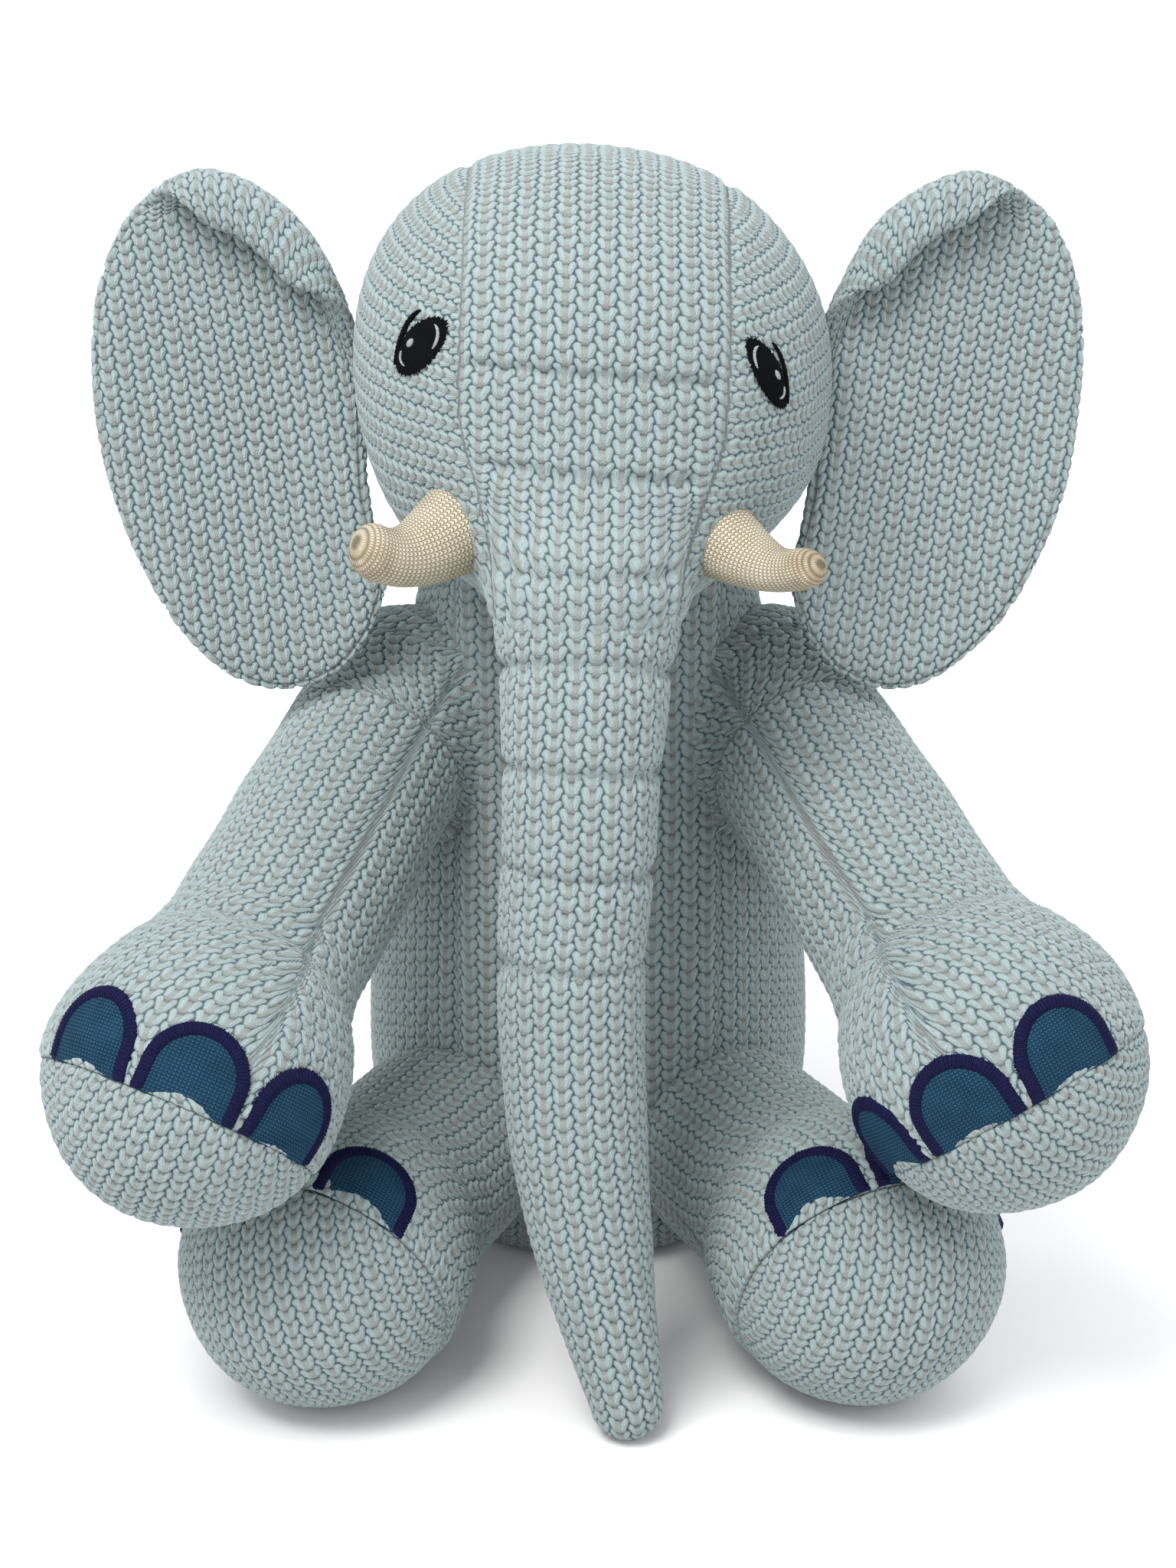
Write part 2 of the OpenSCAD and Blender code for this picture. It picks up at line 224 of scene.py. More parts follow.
def knit_recipe(name, horn_colour, loop_colour, gap_shade_colour):
    """The knit's material: the same horns and loops as stitch_height, drawn in the piece's own stitch
    coordinates, with the plies of the yarn as fine lines beside each horn's middle, their real twist drawn as
    light ridges. The gaps between the yarns are filled with a dark colour as painted shade, and each yarn is
    painted darker towards its edges as shade."""
    r = Recipe(name)
    u, v = r.uv("stitches")
    wale = r.sum("FLOOR", u)
    across = r.sum("ABSOLUTE", r.sum("SUBTRACT", r.sum("SUBTRACT", u, wale), 0.5))
    half = r.sum("FRACT", r.sum("MULTIPLY", wale, 0.5))
    along = HORN_TO - HORN_FROM
    length2 = float(along @ along)
    horns, loops = None, None
    for shift, side in ((0.0, across), (0.5, r.sum("SUBTRACT", 1.0, across))):
        base = r.sum("MULTIPLY", r.sum("FRACT", r.sum("ADD", r.sum("ADD", v, half), shift)), ROW)
        for up in (base, r.sum("ADD", base, ROW)):
            t = r.sum("MULTIPLY_ADD", side, float(along[0] / length2),
                      r.sum("MULTIPLY_ADD", up, float(along[1] / length2),
                            float(-(HORN_FROM @ along) / length2)), clamp=True)
            dx = r.sum("SUBTRACT", r.sum("MULTIPLY_ADD", t, float(-along[0]), side), float(HORN_FROM[0]))
            dy = r.sum("SUBTRACT", r.sum("MULTIPLY_ADD", t, float(-along[1]), up), float(HORN_FROM[1]))
            horn = r.sum("DIVIDE", r.sum("SQRT", r.sum("MULTIPLY_ADD", dx, dx, r.sum("MULTIPLY", dy, dy))),
                         HORN_R)
            rise = r.sum("SUBTRACT", up, LOOP_AT)
            loop = r.sum("DIVIDE", r.sum("SQRT", r.sum("MULTIPLY_ADD", side, side,
                                                       r.sum("MULTIPLY", rise, rise))), LOOP_R)
            horns = horn if horns is None else r.sum("MINIMUM", horns, horn)
            loops = loop if loops is None else r.sum("MINIMUM", loops, loop)
    plies = r.sum("MULTIPLY_ADD", r.sum("COSINE", r.sum("MULTIPLY", horns, 9.5)), 0.5, 0.5)
    near = r.sum("MINIMUM", horns, loops)
    # Painted shade: where no horn or loop lies, the gaps between the stitches take a dark colour
    gap_shade = r.ramp(near, 0.86, 1.12)
    is_horn = r.ramp(r.sum("SUBTRACT", loops, horns), -0.25, 0.35)
    fibre = r.noise(2600.0, 3.0)
    patch = r.noise(240.0, 3.0)
    horn_yarn = r.mix(r.ramp(patch, 0.35, 0.65), horn_colour,
                      tuple(0.93 * c for c in horn_colour[:3]) + (1,))
    loop_yarn = r.mix(r.ramp(r.noise(420.0, 2.0), 0.4, 0.62), loop_colour,
                      tuple(0.5 * (a + b) for a, b in zip(loop_colour[:3], horn_colour[:3])) + (1,))
    yarn = r.mix(is_horn, loop_yarn, horn_yarn)
    # The yarn's tone: fibre noise at random, and light ply lines on the horns, drawn on the real twist
    shade = r.sum("MULTIPLY_ADD", plies, r.sum("MULTIPLY", is_horn, 0.16),
                  r.sum("MULTIPLY_ADD", fibre, 0.5, 0.62))
    # Painted shade: each yarn is drawn up to a fifth darker towards its edges
    shade = r.sum("MULTIPLY", shade, r.sum("MULTIPLY_ADD", r.ramp(near, 0.35, 1.0), -0.2, 1.0))
    grey = r.add("ShaderNodeCombineXYZ")
    for socket in grey.inputs:
        r.put(socket, shade)
    yarn = r.mix(1.0, yarn, grey.outputs[0], "MULTIPLY")
    # The dark colour laid in the gaps between the stitches is painted shade
    r.put(r.shader.inputs["Base Color"], r.mix(gap_shade, yarn, gap_shade_colour))
    round_yarn = r.sum("SQRT", r.sum("SUBTRACT", 1.0, r.sum("MINIMUM", r.sum("MULTIPLY", near, near), 1.0)))
    height = r.sum("ADD", r.sum("MULTIPLY_ADD", plies, 0.16, round_yarn), r.sum("MULTIPLY", fibre, 0.3))
    r.bump(height, 0.0007, 0.8)
    return r.finish(0.92, sheen=0.25, sheen_tint=(0.86, 0.93, 0.96, 1), specular=0.15)


# The third colour is painted shade, put in the gaps between the stitches
knit_yarn = knit_recipe("knitted_yarn", (0.262, 0.327, 0.335, 1), (0.232, 0.247, 0.236, 1),
                        (0.042, 0.076, 0.090, 1))


def outward(points, hint, wrap):
    """Unit normals of a grid: the cross product of its two neighbour differences, turned to the
    side of hint; where the grid pinches to a pole, hint itself."""
    down = np.gradient(points, axis=0)
    if wrap:
        ring = np.concatenate([points[:, -2:-1], points, points[:, 1:2]], 1)
        side = (ring[:, 2:] - ring[:, :-2]) / 2
    else:
        side = np.gradient(points, axis=1)
    normal = np.cross(side, down)
    size = np.linalg.norm(normal, axis=-1, keepdims=True)
    hint = unit(hint)
    normal = np.where(size > 1e-4, normal / np.maximum(size, 1e-9), hint)
    return unit(normal * np.where((normal * hint).sum(-1, keepdims=True) < 0, -1.0, 1.0))


def soft_lumps(points, amount, seed):
    """Slow hollows and bulges of hand stuffing: a sum of six waves across the space, in mm."""
    rng = np.random.default_rng(seed)
    total = np.zeros(points.shape[:-1])
    for _ in range(6):
        way = unit(rng.normal(size=3))
        total += np.sin(points @ way * 2 * math.pi / rng.uniform(26, 60) + rng.uniform(0, 6.3))
    return amount * total / 3


def sew_mesh(name, points, u, v, material, body, wrap=False, outside=None):
    """A smooth mesh of four-sided faces over a grid of points in mm, carrying u and v as its
    stitch coordinates. A wrapped grid's last column is its first. A first or last row that
    shrinks to one point closes in a fan. Faces are turned to face along outside."""
    rows, columns = points.shape[:2]
    kept = columns - 1 if wrap else columns
    index = np.arange(rows * kept).reshape(rows, kept)
    flat = points[:, :kept].reshape(-1, 3)
    poles = [row for row in (0, rows - 1) if wrap and np.ptp(points[row], axis=0).max() < 1e-6]
    for row in poles:
        index[row] = index[row, 0]
    index = np.concatenate([index, index[:, :1]], 1) if wrap else index
    corners = [(0, 0), (0, 1), (1, 1), (1, 0)]

    def take(grid):
        return np.stack([grid[a:rows - 1 + a, b:columns - 1 + b] for a, b in corners], -1)

    quads, qu, qv = take(index), take(u), take(v)
    loops, loop_uv, starts, count = [], [], [], 0
    for row in range(rows - 1):
        keep = [0, 1, 2, 3]
        if row == 0 and 0 in poles:
            keep = [0, 2, 3]
        if row == rows - 2 and rows - 1 in poles:
            keep = [0, 1, 3] if len(keep) == 4 else keep
        loops.append(quads[row][:, keep].ravel())
        loop_uv.append(np.stack([qu[row][:, keep].ravel(), qv[row][:, keep].ravel()], 1))
        starts.append(count + np.arange(columns - 1) * len(keep))
        count += (columns - 1) * len(keep)
    loops, loop_uv, starts = np.concatenate(loops), np.concatenate(loop_uv), np.concatenate(starts)
    used, loops = np.unique(loops, return_inverse=True)
    mesh = bpy.data.meshes.new(name)
    mesh.vertices.add(len(used))
    mesh.vertices.foreach_set("co", (flat[used] * 0.001).astype(np.float32).ravel())
    mesh.loops.add(len(loops))
    mesh.loops.foreach_set("vertex_index", loops.astype(np.int32).ravel())
    mesh.polygons.add(len(starts))
    mesh.polygons.foreach_set("loop_start", starts.astype(np.int32))
    layer = mesh.uv_layers.new(name="stitches")
    layer.data.foreach_set("uv", loop_uv.astype(np.float32).ravel())
    mesh.update(calc_edges=True)
    mesh.polygons.foreach_set("use_smooth", np.ones(len(starts), bool))
    if outside is not None:
        side = points[:-1, 1:] - points[:-1, :-1]
        down = points[1:, :-1] - points[:-1, :-1]
        if (np.cross(side, down) * outside[:-1, :-1]).sum() < 0:
            mesh.flip_normals()
    mesh.materials.append(material)
    piece = bpy.data.objects.new(name, mesh)
    scene.collection.objects.link(piece)
    if body:
        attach(piece, body)
    return piece


def knit_piece(name, points, hint, u, v, body, seam=None, wrap=True, relief=1.0, material=None,
               lumps=0.5, seed=1, tucked=False):
    """A knitted cover over a grid of points: lumps and the stitches' height are added along the
    normal. Slow waves push the stitches a little out of line. seam is 1 on plain cloth and
    falls to 0 in a seam, where the cloth dips. A tucked piece's last row is its turned-in edge."""
    seam = np.ones(points.shape[:2]) if seam is None else seam
    normal = outward(points, hint, wrap)
    if tucked:
        normal[-2:] = normal[-3]
    u, v = u + soft_lumps(points * 5, 0.06, 40), v + soft_lumps(points * 5, 0.09, 41)
    rise = soft_lumps(points, lumps, seed) + relief * (stitch_height(u, v) - 0.6) * seam - 0.7 * (1 - seam)
    covered = points + normal * rise[..., None]
    if wrap:
        covered[:, -1] = covered[:, 0]
        for row in (0, -1):
            if np.ptp(points[row], axis=0).max() < 1e-6:
                covered[row] = covered[row].mean(0)
    piece = sew_mesh(name, covered, u, v, material or knit_yarn, body, wrap, normal)
    return piece


def lengths(points, axis=0):
    """Running length along each grid line, in mm."""
    steps = np.linalg.norm(np.diff(points, axis=axis), axis=-1)
    zero = np.zeros_like(np.take(steps, [0], axis))
    return np.concatenate([zero, np.cumsum(steps, axis)], axis)


def reach(start, way, field, far):
    """Where each ray from start along way leaves a body: 26 halvings between 0 and far."""
    low = np.zeros(way.shape[:-1])
    high = np.full(way.shape[:-1], float(far))
    for _ in range(26):
        middle = (low + high) / 2
        inside = field(start + way * middle[..., None]) < 0
        low, high = np.where(inside, middle, low), np.where(inside, high, middle)
    return start + way * low[..., None]


def cone(points, a, b, ra, rb):
    """Distance to a round rod from a to b whose radius goes from ra to rb."""
    a, b = np.asarray(a, float), np.asarray(b, float)
    t = np.clip((points - a) @ (b - a) / ((b - a) @ (b - a)), 0, 1)
    return np.linalg.norm(points - a - t[..., None] * (b - a), axis=-1) - (ra + t * (rb - ra))


def melt(first, second, width):
    """The smaller of two distances, rounded where they come within width of each other."""
    share = np.maximum(width - np.abs(first - second), 0) / width
    return np.minimum(first, second) - share * share * width / 4


FINE = 0.74

# The body: a pear of knitted cloth round polyester stuffing and a bag of pellets, sewn from a
# belly panel, two side panels and a flat seat. The seams are turned in, and dip a little.


def stuffing_recipe():
    """Carded fibre: stretched noise in two sizes for tone and bump."""
    r = Recipe("white_stuffing")
    strands = r.noise(420.0, 6.0, (1, 1, 0.25))
    clumps = r.noise(60.0, 3.0)
    tone = r.sum("MULTIPLY_ADD", strands, 0.7, r.sum("MULTIPLY", clumps, 0.4), clamp=True)
    r.put(r.shader.inputs["Base Color"], r.mix(tone, (0.62, 0.62, 0.6, 1), (0.92, 0.92, 0.9, 1)))
    r.bump(strands, 0.0015)
    return r.finish(0.95, sheen=0.4)


white_stuffing = stuffing_recipe()
BODY_Y = 47.0
BODY_R, SEAT_R, BELLY_Z, NECK_R = 59.0, 42.0, 46.0, 44.0
PEAR_TOP, CROWN_Z, BODY_TOP = 182.0, 166.0, 204.0
BELLY_HALF = 34.0


def body_radius(z):
    """Radius of the pear: an ellipse below the belly's widest ring, a raised cosine above it, and
    from CROWN_Z a rounded crown that ends inside the head."""
    low = SEAT_R + (BODY_R - SEAT_R) * np.sqrt(np.clip(1 - ((BELLY_Z - z) / BELLY_Z) ** 2, 0, 1))
    turn = np.clip((z - BELLY_Z) / (PEAR_TOP - BELLY_Z), 0, 1)
    high = NECK_R + (BODY_R - NECK_R) * ((1 + np.cos(math.pi * turn)) / 2) ** 0.8
    crown = np.clip((z - CROWN_Z) / (BODY_TOP - CROWN_Z), 0, 1)
    return np.where(z < BELLY_Z, low, high * np.sqrt(1 - 0.99 * crown ** 2))


profile_z = np.concatenate([np.zeros(40), np.linspace(0, BODY_TOP, 600), np.full(24, BODY_TOP)])
profile_r = np.concatenate([np.linspace(0, SEAT_R, 40, endpoint=False),
                            body_radius(np.linspace(0, BODY_TOP, 600)),
                            np.linspace(body_radius(np.array(BODY_TOP)), 0, 25)[1:]])
profile_l = np.concatenate([[0], np.cumsum(np.hypot(np.diff(profile_z), np.diff(profile_r)))])
steps = np.linspace(0, profile_l[-1], int(profile_l[-1] / 0.96))
ring_z, ring_r = np.interp(steps, profile_l, profile_z), np.interp(steps, profile_l, profile_r)
turn = np.linspace(-math.pi, math.pi, 393)
way = np.stack([np.sin(turn), -np.cos(turn), 0 * turn], -1)
middle_y = BODY_Y - 17 * np.clip((ring_z - CROWN_Z) / (BODY_TOP - CROWN_Z), 0, 1)[:, None] ** 2
body_points = np.stack([ring_r[:, None] * way[None, :, 0], middle_y + ring_r[:, None] * way[None, :, 1],
                        np.broadcast_to(ring_z[:, None], (len(ring_z), len(turn)))], -1)
body_points[..., 2] = np.maximum(body_points[..., 2], 0.9)
body_hint = body_points - np.array([0, BODY_Y, 80.0])
on_seat = steps < SEAT_R
belly = (np.abs(body_points[..., 0]) < BELLY_HALF) & (body_points[..., 1] < BODY_Y)
arc = ring_r[:, None] * turn[None, :]
body_u = np.where(belly, body_points[..., 0] / WALE, arc / WALE)
body_u = np.where(on_seat[:, None], body_points[..., 0] / WALE, body_u)
body_v = np.broadcast_to(steps[:, None] / (WALE * ROW), arc.shape)
body_v = np.where(on_seat[:, None], body_points[..., 1] / (WALE * ROW), body_v)
belly_seam = np.where(body_points[..., 1] < BODY_Y, np.abs(np.abs(body_points[..., 0]) - BELLY_HALF), 9.0)
back_seam = np.where(np.abs(turn)[None, :] > 2.6, (math.pi - np.abs(turn))[None, :] * ring_r[:, None], 9.0)
seat_seam = np.abs(steps - SEAT_R)[:, None] * np.ones_like(arc)
body_seam = smooth_step(0.2, 2.4, np.minimum(np.minimum(belly_seam, back_seam), seat_seam))
body_seam = np.where(on_seat[:, None] & (seat_seam > 2.4), 0.35, body_seam)
body_cloth = knit_piece("body_cloth", body_points, body_hint, body_u, body_v, "torso", body_seam,
                        lumps=0.0)
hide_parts("belly_panel", "body_side_right", "body_side_left", "seat_panel")
# The stuffing keeps inside the cloth, on every third row and fourth column of its grid
rows = np.r_[0:len(steps) - 1:3, len(steps) - 1]
body_wall = 3.2
middle = np.concatenate([0 * middle_y, middle_y], 1)[rows][:, None]
body_core = body_points[rows]
inward = 1 - body_wall / np.maximum(ring_r[rows], 8)
body_core[..., :2] = middle + (body_core[..., :2] - middle) * inward[:, None, None]
body_core[..., 2] = np.clip(body_core[..., 2], 4.0, BODY_TOP - 3.5)
body_core[[0, -1]] = body_core[[0, -1]].mean(1, keepdims=True)
body_wadding = sew_mesh("body_wadding", body_core[:, ::4], body_u[rows, ::4], body_v[rows, ::4],
                        white_stuffing, "torso", True, body_hint[rows, ::4])
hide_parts("body_filling")

# The head: a round-cornered globe of knitted cloth that runs forward into the trunk. A forehead
# panel with upright wales lies between two side panels whose knit is turned on its side. Two
# short tucks are pinched across the forehead panel.
HEAD_AT = np.array([0.0, 5.0, 241.0])
HEAD_R, HEAD_H, HEAD_POWER = 57.0, 53.0, 2.3
MUZZLE_FROM, MUZZLE_R = (0.0, -11.0, 230.0), 35.0
TRUNK_AT = np.array([[0, -49, 205], [-0.5, -56, 188], [-1.4, -62, 166],
                     [-2.3, -66, 143], [-4, -70, 121], [9.5, -84, 8.8]], float)
TRUNK_R = [22.5, 20.0, 18.2, 17.6, 17.2, 8.8]
HEAD_ROLL = math.radians(4.8)
ROLL_AT = np.array([0.0, 0.0, 205.0])


def head_distance(points):
    """A globe whose sections are rounded squares, melted into the rod of the muzzle."""
    q = points - HEAD_AT
    size = ((np.hypot(q[..., 0], q[..., 1]) / HEAD_R) ** HEAD_POWER
            + (np.abs(q[..., 2]) / HEAD_H) ** HEAD_POWER)
    globe = (size ** (1 / HEAD_POWER) - 1) * 55
    return melt(globe, cone(points, MUZZLE_FROM, TRUNK_AT[0], MUZZLE_R, 23.5), 16)


def rolled(points, share=1.0):
    """The head hangs a little to its left: points are turned about the line along Y through
    ROLL_AT, fully above the muzzle and less and less below it."""
    lift = points[..., 2] - ROLL_AT[2]
    angle = HEAD_ROLL * share * smooth_step(-8, 26, lift)
    x, z = points[..., 0] - ROLL_AT[0], lift
    return np.stack([ROLL_AT[0] + x * np.cos(angle) + z * np.sin(angle) * 0.35, points[..., 1],
                     ROLL_AT[2] + z - x * np.sin(angle)], -1)


fall = np.linspace(0, math.pi, 245)[:, None]
spin = np.linspace(-math.pi, math.pi, 491)[None, :]
head_way = np.stack([np.sin(fall) * np.sin(spin), -np.sin(fall) * np.cos(spin),
                     np.cos(fall) * np.ones_like(spin)], -1)
head_points = reach(HEAD_AT, head_way, head_distance, 100)
pitch_angle = np.arctan2(-(head_points[..., 1] - HEAD_AT[1]), head_points[..., 2] - HEAD_AT[2])
GUSSET_TOP, GUSSET_CHIN = 31.0, 21.0
gusset_half = GUSSET_TOP - (GUSSET_TOP - GUSSET_CHIN) * smooth_step(1.5, 2.25, pitch_angle)
on_gusset = np.abs(head_points[..., 0]) < gusset_half
# Rows are counted along the panel's middle line, and on a side panel from the cheek's middle out
middle_angle = np.linspace(-math.pi, math.pi, 2000)
middle_line = reach(HEAD_AT, np.stack([0 * middle_angle, -np.sin(middle_angle), np.cos(middle_angle)], -1),
                    head_distance, 100)
head_run = np.interp(pitch_angle, middle_angle, lengths(middle_line))
from_head = unit(head_points - HEAD_AT)
off_side = np.arccos(np.clip(np.abs(from_head[..., 0]), 0, 1)) * 56
round_side = unit(from_head[..., 1:])
SIDE_WALE = 4.1
head_u = np.where(on_gusset, head_points[..., 0] / WALE, off_side * round_side[..., 1] / SIDE_WALE)
head_v = np.where(on_gusset, -head_run / (WALE * ROW), off_side * round_side[..., 0] / (SIDE_WALE * ROW))
gusset_seam = smooth_step(0.2, 2.2, np.abs(np.abs(head_points[..., 0]) - gusset_half))


def tuck_depth(along, across, place, half_width):
    """A pinched tuck: a groove of Gaussian section that fades out at its two ends."""
    sag = 1.6 * (across / half_width) ** 2
    return np.exp(-((along - place - sag) / 1.5) ** 2) * smooth_step(1.0, 0.8, np.abs(across) / half_width)


forehead = head_points[..., 1] < HEAD_AT[1]
tucks = np.zeros_like(pitch_angle)
for place, half_width in ((255.1, GUSSET_TOP + 1), (233.4, GUSSET_TOP - 3), (213.9, GUSSET_CHIN + 2)):
    tucks += tuck_depth(-head_points[..., 2], head_points[..., 0], -place, half_width)
head_normal = outward(head_points, head_way, True)
head_points = head_points - head_normal * (2.0 * np.where(forehead, tucks, 0))[..., None]
head_cloth = knit_piece("head_cloth", rolled(head_points), head_way, head_u, head_v, "head", gusset_seam,
                        lumps=0.5, seed=3)
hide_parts("head_gusset", "head_side_right", "head_side_left")

# The trunk: the forehead panel's long tube, pinched by sewn tucks into five stuffed links. Each
# link turns a little on the one above it, and the tuck between them is the hinge.


def frame_of(way, up=(0, -1, 0)):
    """Two unit vectors square to way; the first leans to up."""
    way = unit(np.asarray(way, float))
    first = unit(np.asarray(up, float) - way * (np.asarray(up, float) @ way))
    return first, np.cross(way, first)


trunk_run = 0.0
for link in range(5):
    a, b = TRUNK_AT[link], TRUNK_AT[link + 1]
    ra, rb = TRUNK_R[link], TRUNK_R[link + 1]
    last = link == 4
    way = unit(b - a)
    front, side = frame_of(way)
    long = np.linalg.norm(b - a)
    overrun = 0.0 if last else 1.0
    # The link's outline: a dome at the top that hides in the link above, a tube, and a rolled end
    dome = np.linspace(0, math.pi / 2, 26, endpoint=False)
    tube = np.linspace(0, long + overrun, int(long / FINE))
    tip = np.linspace(0, math.pi / 2, 20)[1:]
    tube_r = ra + (rb - ra) * tube / long
    if last:
        tube_r = ra + (rb - ra) * (tube / long) ** 1.15 + 2.0 * np.sin(math.pi * tube / long)
    pinch = 1.9 * np.exp(-(tube / 1.9) ** 2)
    if not last:
        pinch = pinch + 1.9 * np.exp(-((tube - long - overrun) / 1.9) ** 2)
    tube_r = tube_r - pinch
    end_r = tube_r[-1]
    end_long = end_r if last else 5.0
    s = np.concatenate([-(ra - 1.9) * np.cos(dome), tube, tube[-1] + end_long * np.sin(tip)])
    radius = np.concatenate([(ra - 1.9) * np.sin(dome), tube_r, end_r * np.cos(tip)])
    radius[[0, -1]] = 0
    turn = np.linspace(-math.pi, math.pi, int(2 * math.pi * ra / FINE))
    ring = np.cos(turn)[:, None] * front + np.sin(turn)[:, None] * side
    bow = np.zeros_like(s)
    if last:
        share = np.clip(s / long, 0, 1)
        bow = 4.0 * np.sin(math.pi * share)
    spine = a + s[:, None] * way + bow[:, None] * np.array([-1.0, 0.35, 0])
    link_points = spine[:, None] + radius[:, None, None] * ring[None]
    link_hint = ring[None] + 0 * link_points + 0.02 * (link_points - (a + b) / 2)
    link_u = turn[None] * radius[:, None] / WALE
    link_v = -(trunk_run + s)[:, None] / (WALE * ROW) + 0 * link_u
    seam = smooth_step(0.2, 2.0, (math.pi - np.abs(turn))[None] * radius[:, None] + 0 * link_u)
    link_cloth = knit_piece(f"trunk_cloth_{link + 1}", link_points, link_hint, link_u, link_v,
                            f"trunk_{link + 1}", seam, lumps=0.25, seed=5)
    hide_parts(f"trunk_cover_{link + 1}")
    trunk_run += long

# The ears: two layers of a finer knit over a thin sheet of wadding, sewn together round the rim.
# They cup forward, and at the top the rim by the head rolls over in a thick fold.
EAR_AT = np.array([-83.5, 11.0, 225.0])
EAR_HALF_W, EAR_HALF_H, EAR_LEAN, EAR_TILT, EAR_CUP = 35.0, 61.5, 0.16, 0.2, 8.0
EAR_ROOT_X = -54.0
ROLL_R, ROLL_SHARE = 6.5, 0.8
EAR_WALE, EAR_ROW = 4.1, 4.1 * ROW


def ear_sheet(share, angle, face):
    """One layer of the right ear, face -1 in front and 1 behind, and its flat cloth coordinates.

    The sheet is an ellipse cut along its root, leaning out at the top, tilted and cupped. Its
    outermost ROLL_R runs round a roll: by the head's side of the top, the rim turns forward
    through phi, so it goes out by R sin(phi) and forward by R (1 - cos(phi)).
    """
    x0, z0 = EAR_HALF_W * np.cos(angle), EAR_HALF_H * np.sin(angle)
    root = EAR_ROOT_X + 5.0 * smooth_step(-10, -40, z0)
    x1 = np.minimum(-EAR_LEAN * z0 + x0, root - EAR_AT[0])
    long = np.hypot(x1, z0)
    out_x, out_z = x1 / long, z0 / long
    roll = smooth_step(0.15, 0.95, angle) * smooth_step(2.15, 1.45, angle)
    tail = np.clip((share - ROLL_SHARE) / (1 - ROLL_SHARE), 0, 1)
    phi = tail * roll * 1.2 * math.pi
    flat_r = np.minimum(share / ROLL_SHARE, 1) * (long - ROLL_R)
    r = flat_r + ROLL_R * (np.sin(phi) * roll + tail * (1 - roll))
    thick = ((3.0 * np.sqrt(np.clip(1 - share ** 3, 0, 1)) + 1.6 * (1 - share ** 10))
             * (1 - 0.25 * roll * tail))
    off = -face * thick
    x, z = (r - off * np.sin(phi)) * out_x, (r - off * np.sin(phi)) * out_z
    bowl = EAR_CUP * ((r / long) ** 2 - 0.4) + 1.5 * np.sin(r * out_x * 0.12 + z * 0.06) * (r / long)
    y = EAR_AT[1] + EAR_TILT * z - bowl - ROLL_R * (1 - np.cos(phi)) - off * np.cos(phi)
    cloth_r = flat_r + ROLL_R * (phi + tail * (1 - roll))
    return np.stack([EAR_AT[0] + x, y, EAR_AT[2] + z], -1), cloth_r * out_x, cloth_r * out_z


for side_name, mirror in (("right", 1.0), ("left", -1.0)):
    angle = np.linspace(-math.pi, math.pi, 381)[None, :]
    one_face = np.concatenate([np.linspace(0, ROLL_SHARE, 72)[:-1], np.linspace(ROLL_SHARE, 1, 30)])
    share = np.concatenate([one_face, one_face[:-1][::-1]])[:, None]
    face = np.concatenate([-np.ones(len(one_face)), np.ones(len(one_face) - 1)])[:, None]
    ear_points, flat_x, flat_z = ear_sheet(share, angle, face)
    middle_sheet = ear_sheet(np.minimum(share, 0.995), angle, 0 * face)[0]
    ear_hint = ear_points - middle_sheet
    ear_hint[[0, -1]] = np.array([[0, -1.0, 0]]), np.array([[0, 1.0, 0]])
    ear_u = (flat_x + 0.12 * flat_z) / EAR_WALE
    ear_v = flat_z / EAR_ROW
    rim = np.abs(np.arange(len(share)) - len(one_face) + 1)[:, None] * np.ones_like(angle)
    ear_seam = smooth_step(0.0, 3.0, np.abs(rim - 7))
    ear_points[..., 0] *= mirror
    ear_hint[..., 0] *= mirror
    ear_cloth = knit_piece(f"ear_{side_name}_cloth", ear_points, ear_hint, ear_u, ear_v,
                           f"ear_{side_name}", ear_seam, relief=0.8, lumps=0.5, seed=7)
    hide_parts(f"ear_{side_name}_front", f"ear_{side_name}_back")
    share = np.concatenate([np.linspace(0, 0.92, 31), np.linspace(0.92, 0, 31)[1:]])[:, None]
    face = np.concatenate([-np.ones(31), np.ones(30)])[:, None] * 0.4
    padding_points = ear_sheet(share, angle[:, ::4], face)[0] * [mirror, 1, 1]
    padding_hint = np.array([0, 1.0, 0]) * face[..., None] + 0 * padding_points
    padding = sew_mesh(f"ear_{side_name}_padding", padding_points, share + 0 * angle[:, ::4],
                       face + 0 * angle[:, ::4], white_stuffing, f"ear_{side_name}", True, padding_hint)
    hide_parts(f"ear_{side_name}_wadding")

# The legs: tubes of the same knit that swell into round feet. The cover's one seam runs down
# its inner side, and a round sole panel closes the foot with a gathered seam.
FOOT_R = 35.0
LEGS = {
    "front_leg_right": dict(root=(-47, 29, 148), foot=(-91, -88, 99), sole=(-0.38, -0.52, -0.76),
                            r=24.5, turn=38, edge=10.0, seam=(0.35, -0.7, 0.3)),
    "front_leg_left": dict(root=(47, 29, 148), foot=(94.5, -86, 102), sole=(0.5, -0.37, -0.78),
                           r=24.5, turn=-72, edge=10.0, seam=(-0.35, -0.7, 0.3)),
    "hind_leg_right": dict(root=(-39, -3, 35), foot=(-65, -62, 35), sole=(-0.33, -0.86, -0.38),
                           r=27.0, turn=-15, edge=5.0, seam=(1, 0, -0.2)),
    "hind_leg_left": dict(root=(39, -3, 35), foot=(67, -61, 35), sole=(0.33, -0.86, -0.38),
                          r=27.0, turn=13, edge=5.0, seam=(-1, 0, -0.2)),
}
NAIL_W, NAIL_H, BORDER_W, NAIL_STEP = 25.0, 19.5, 3.6, 45.0


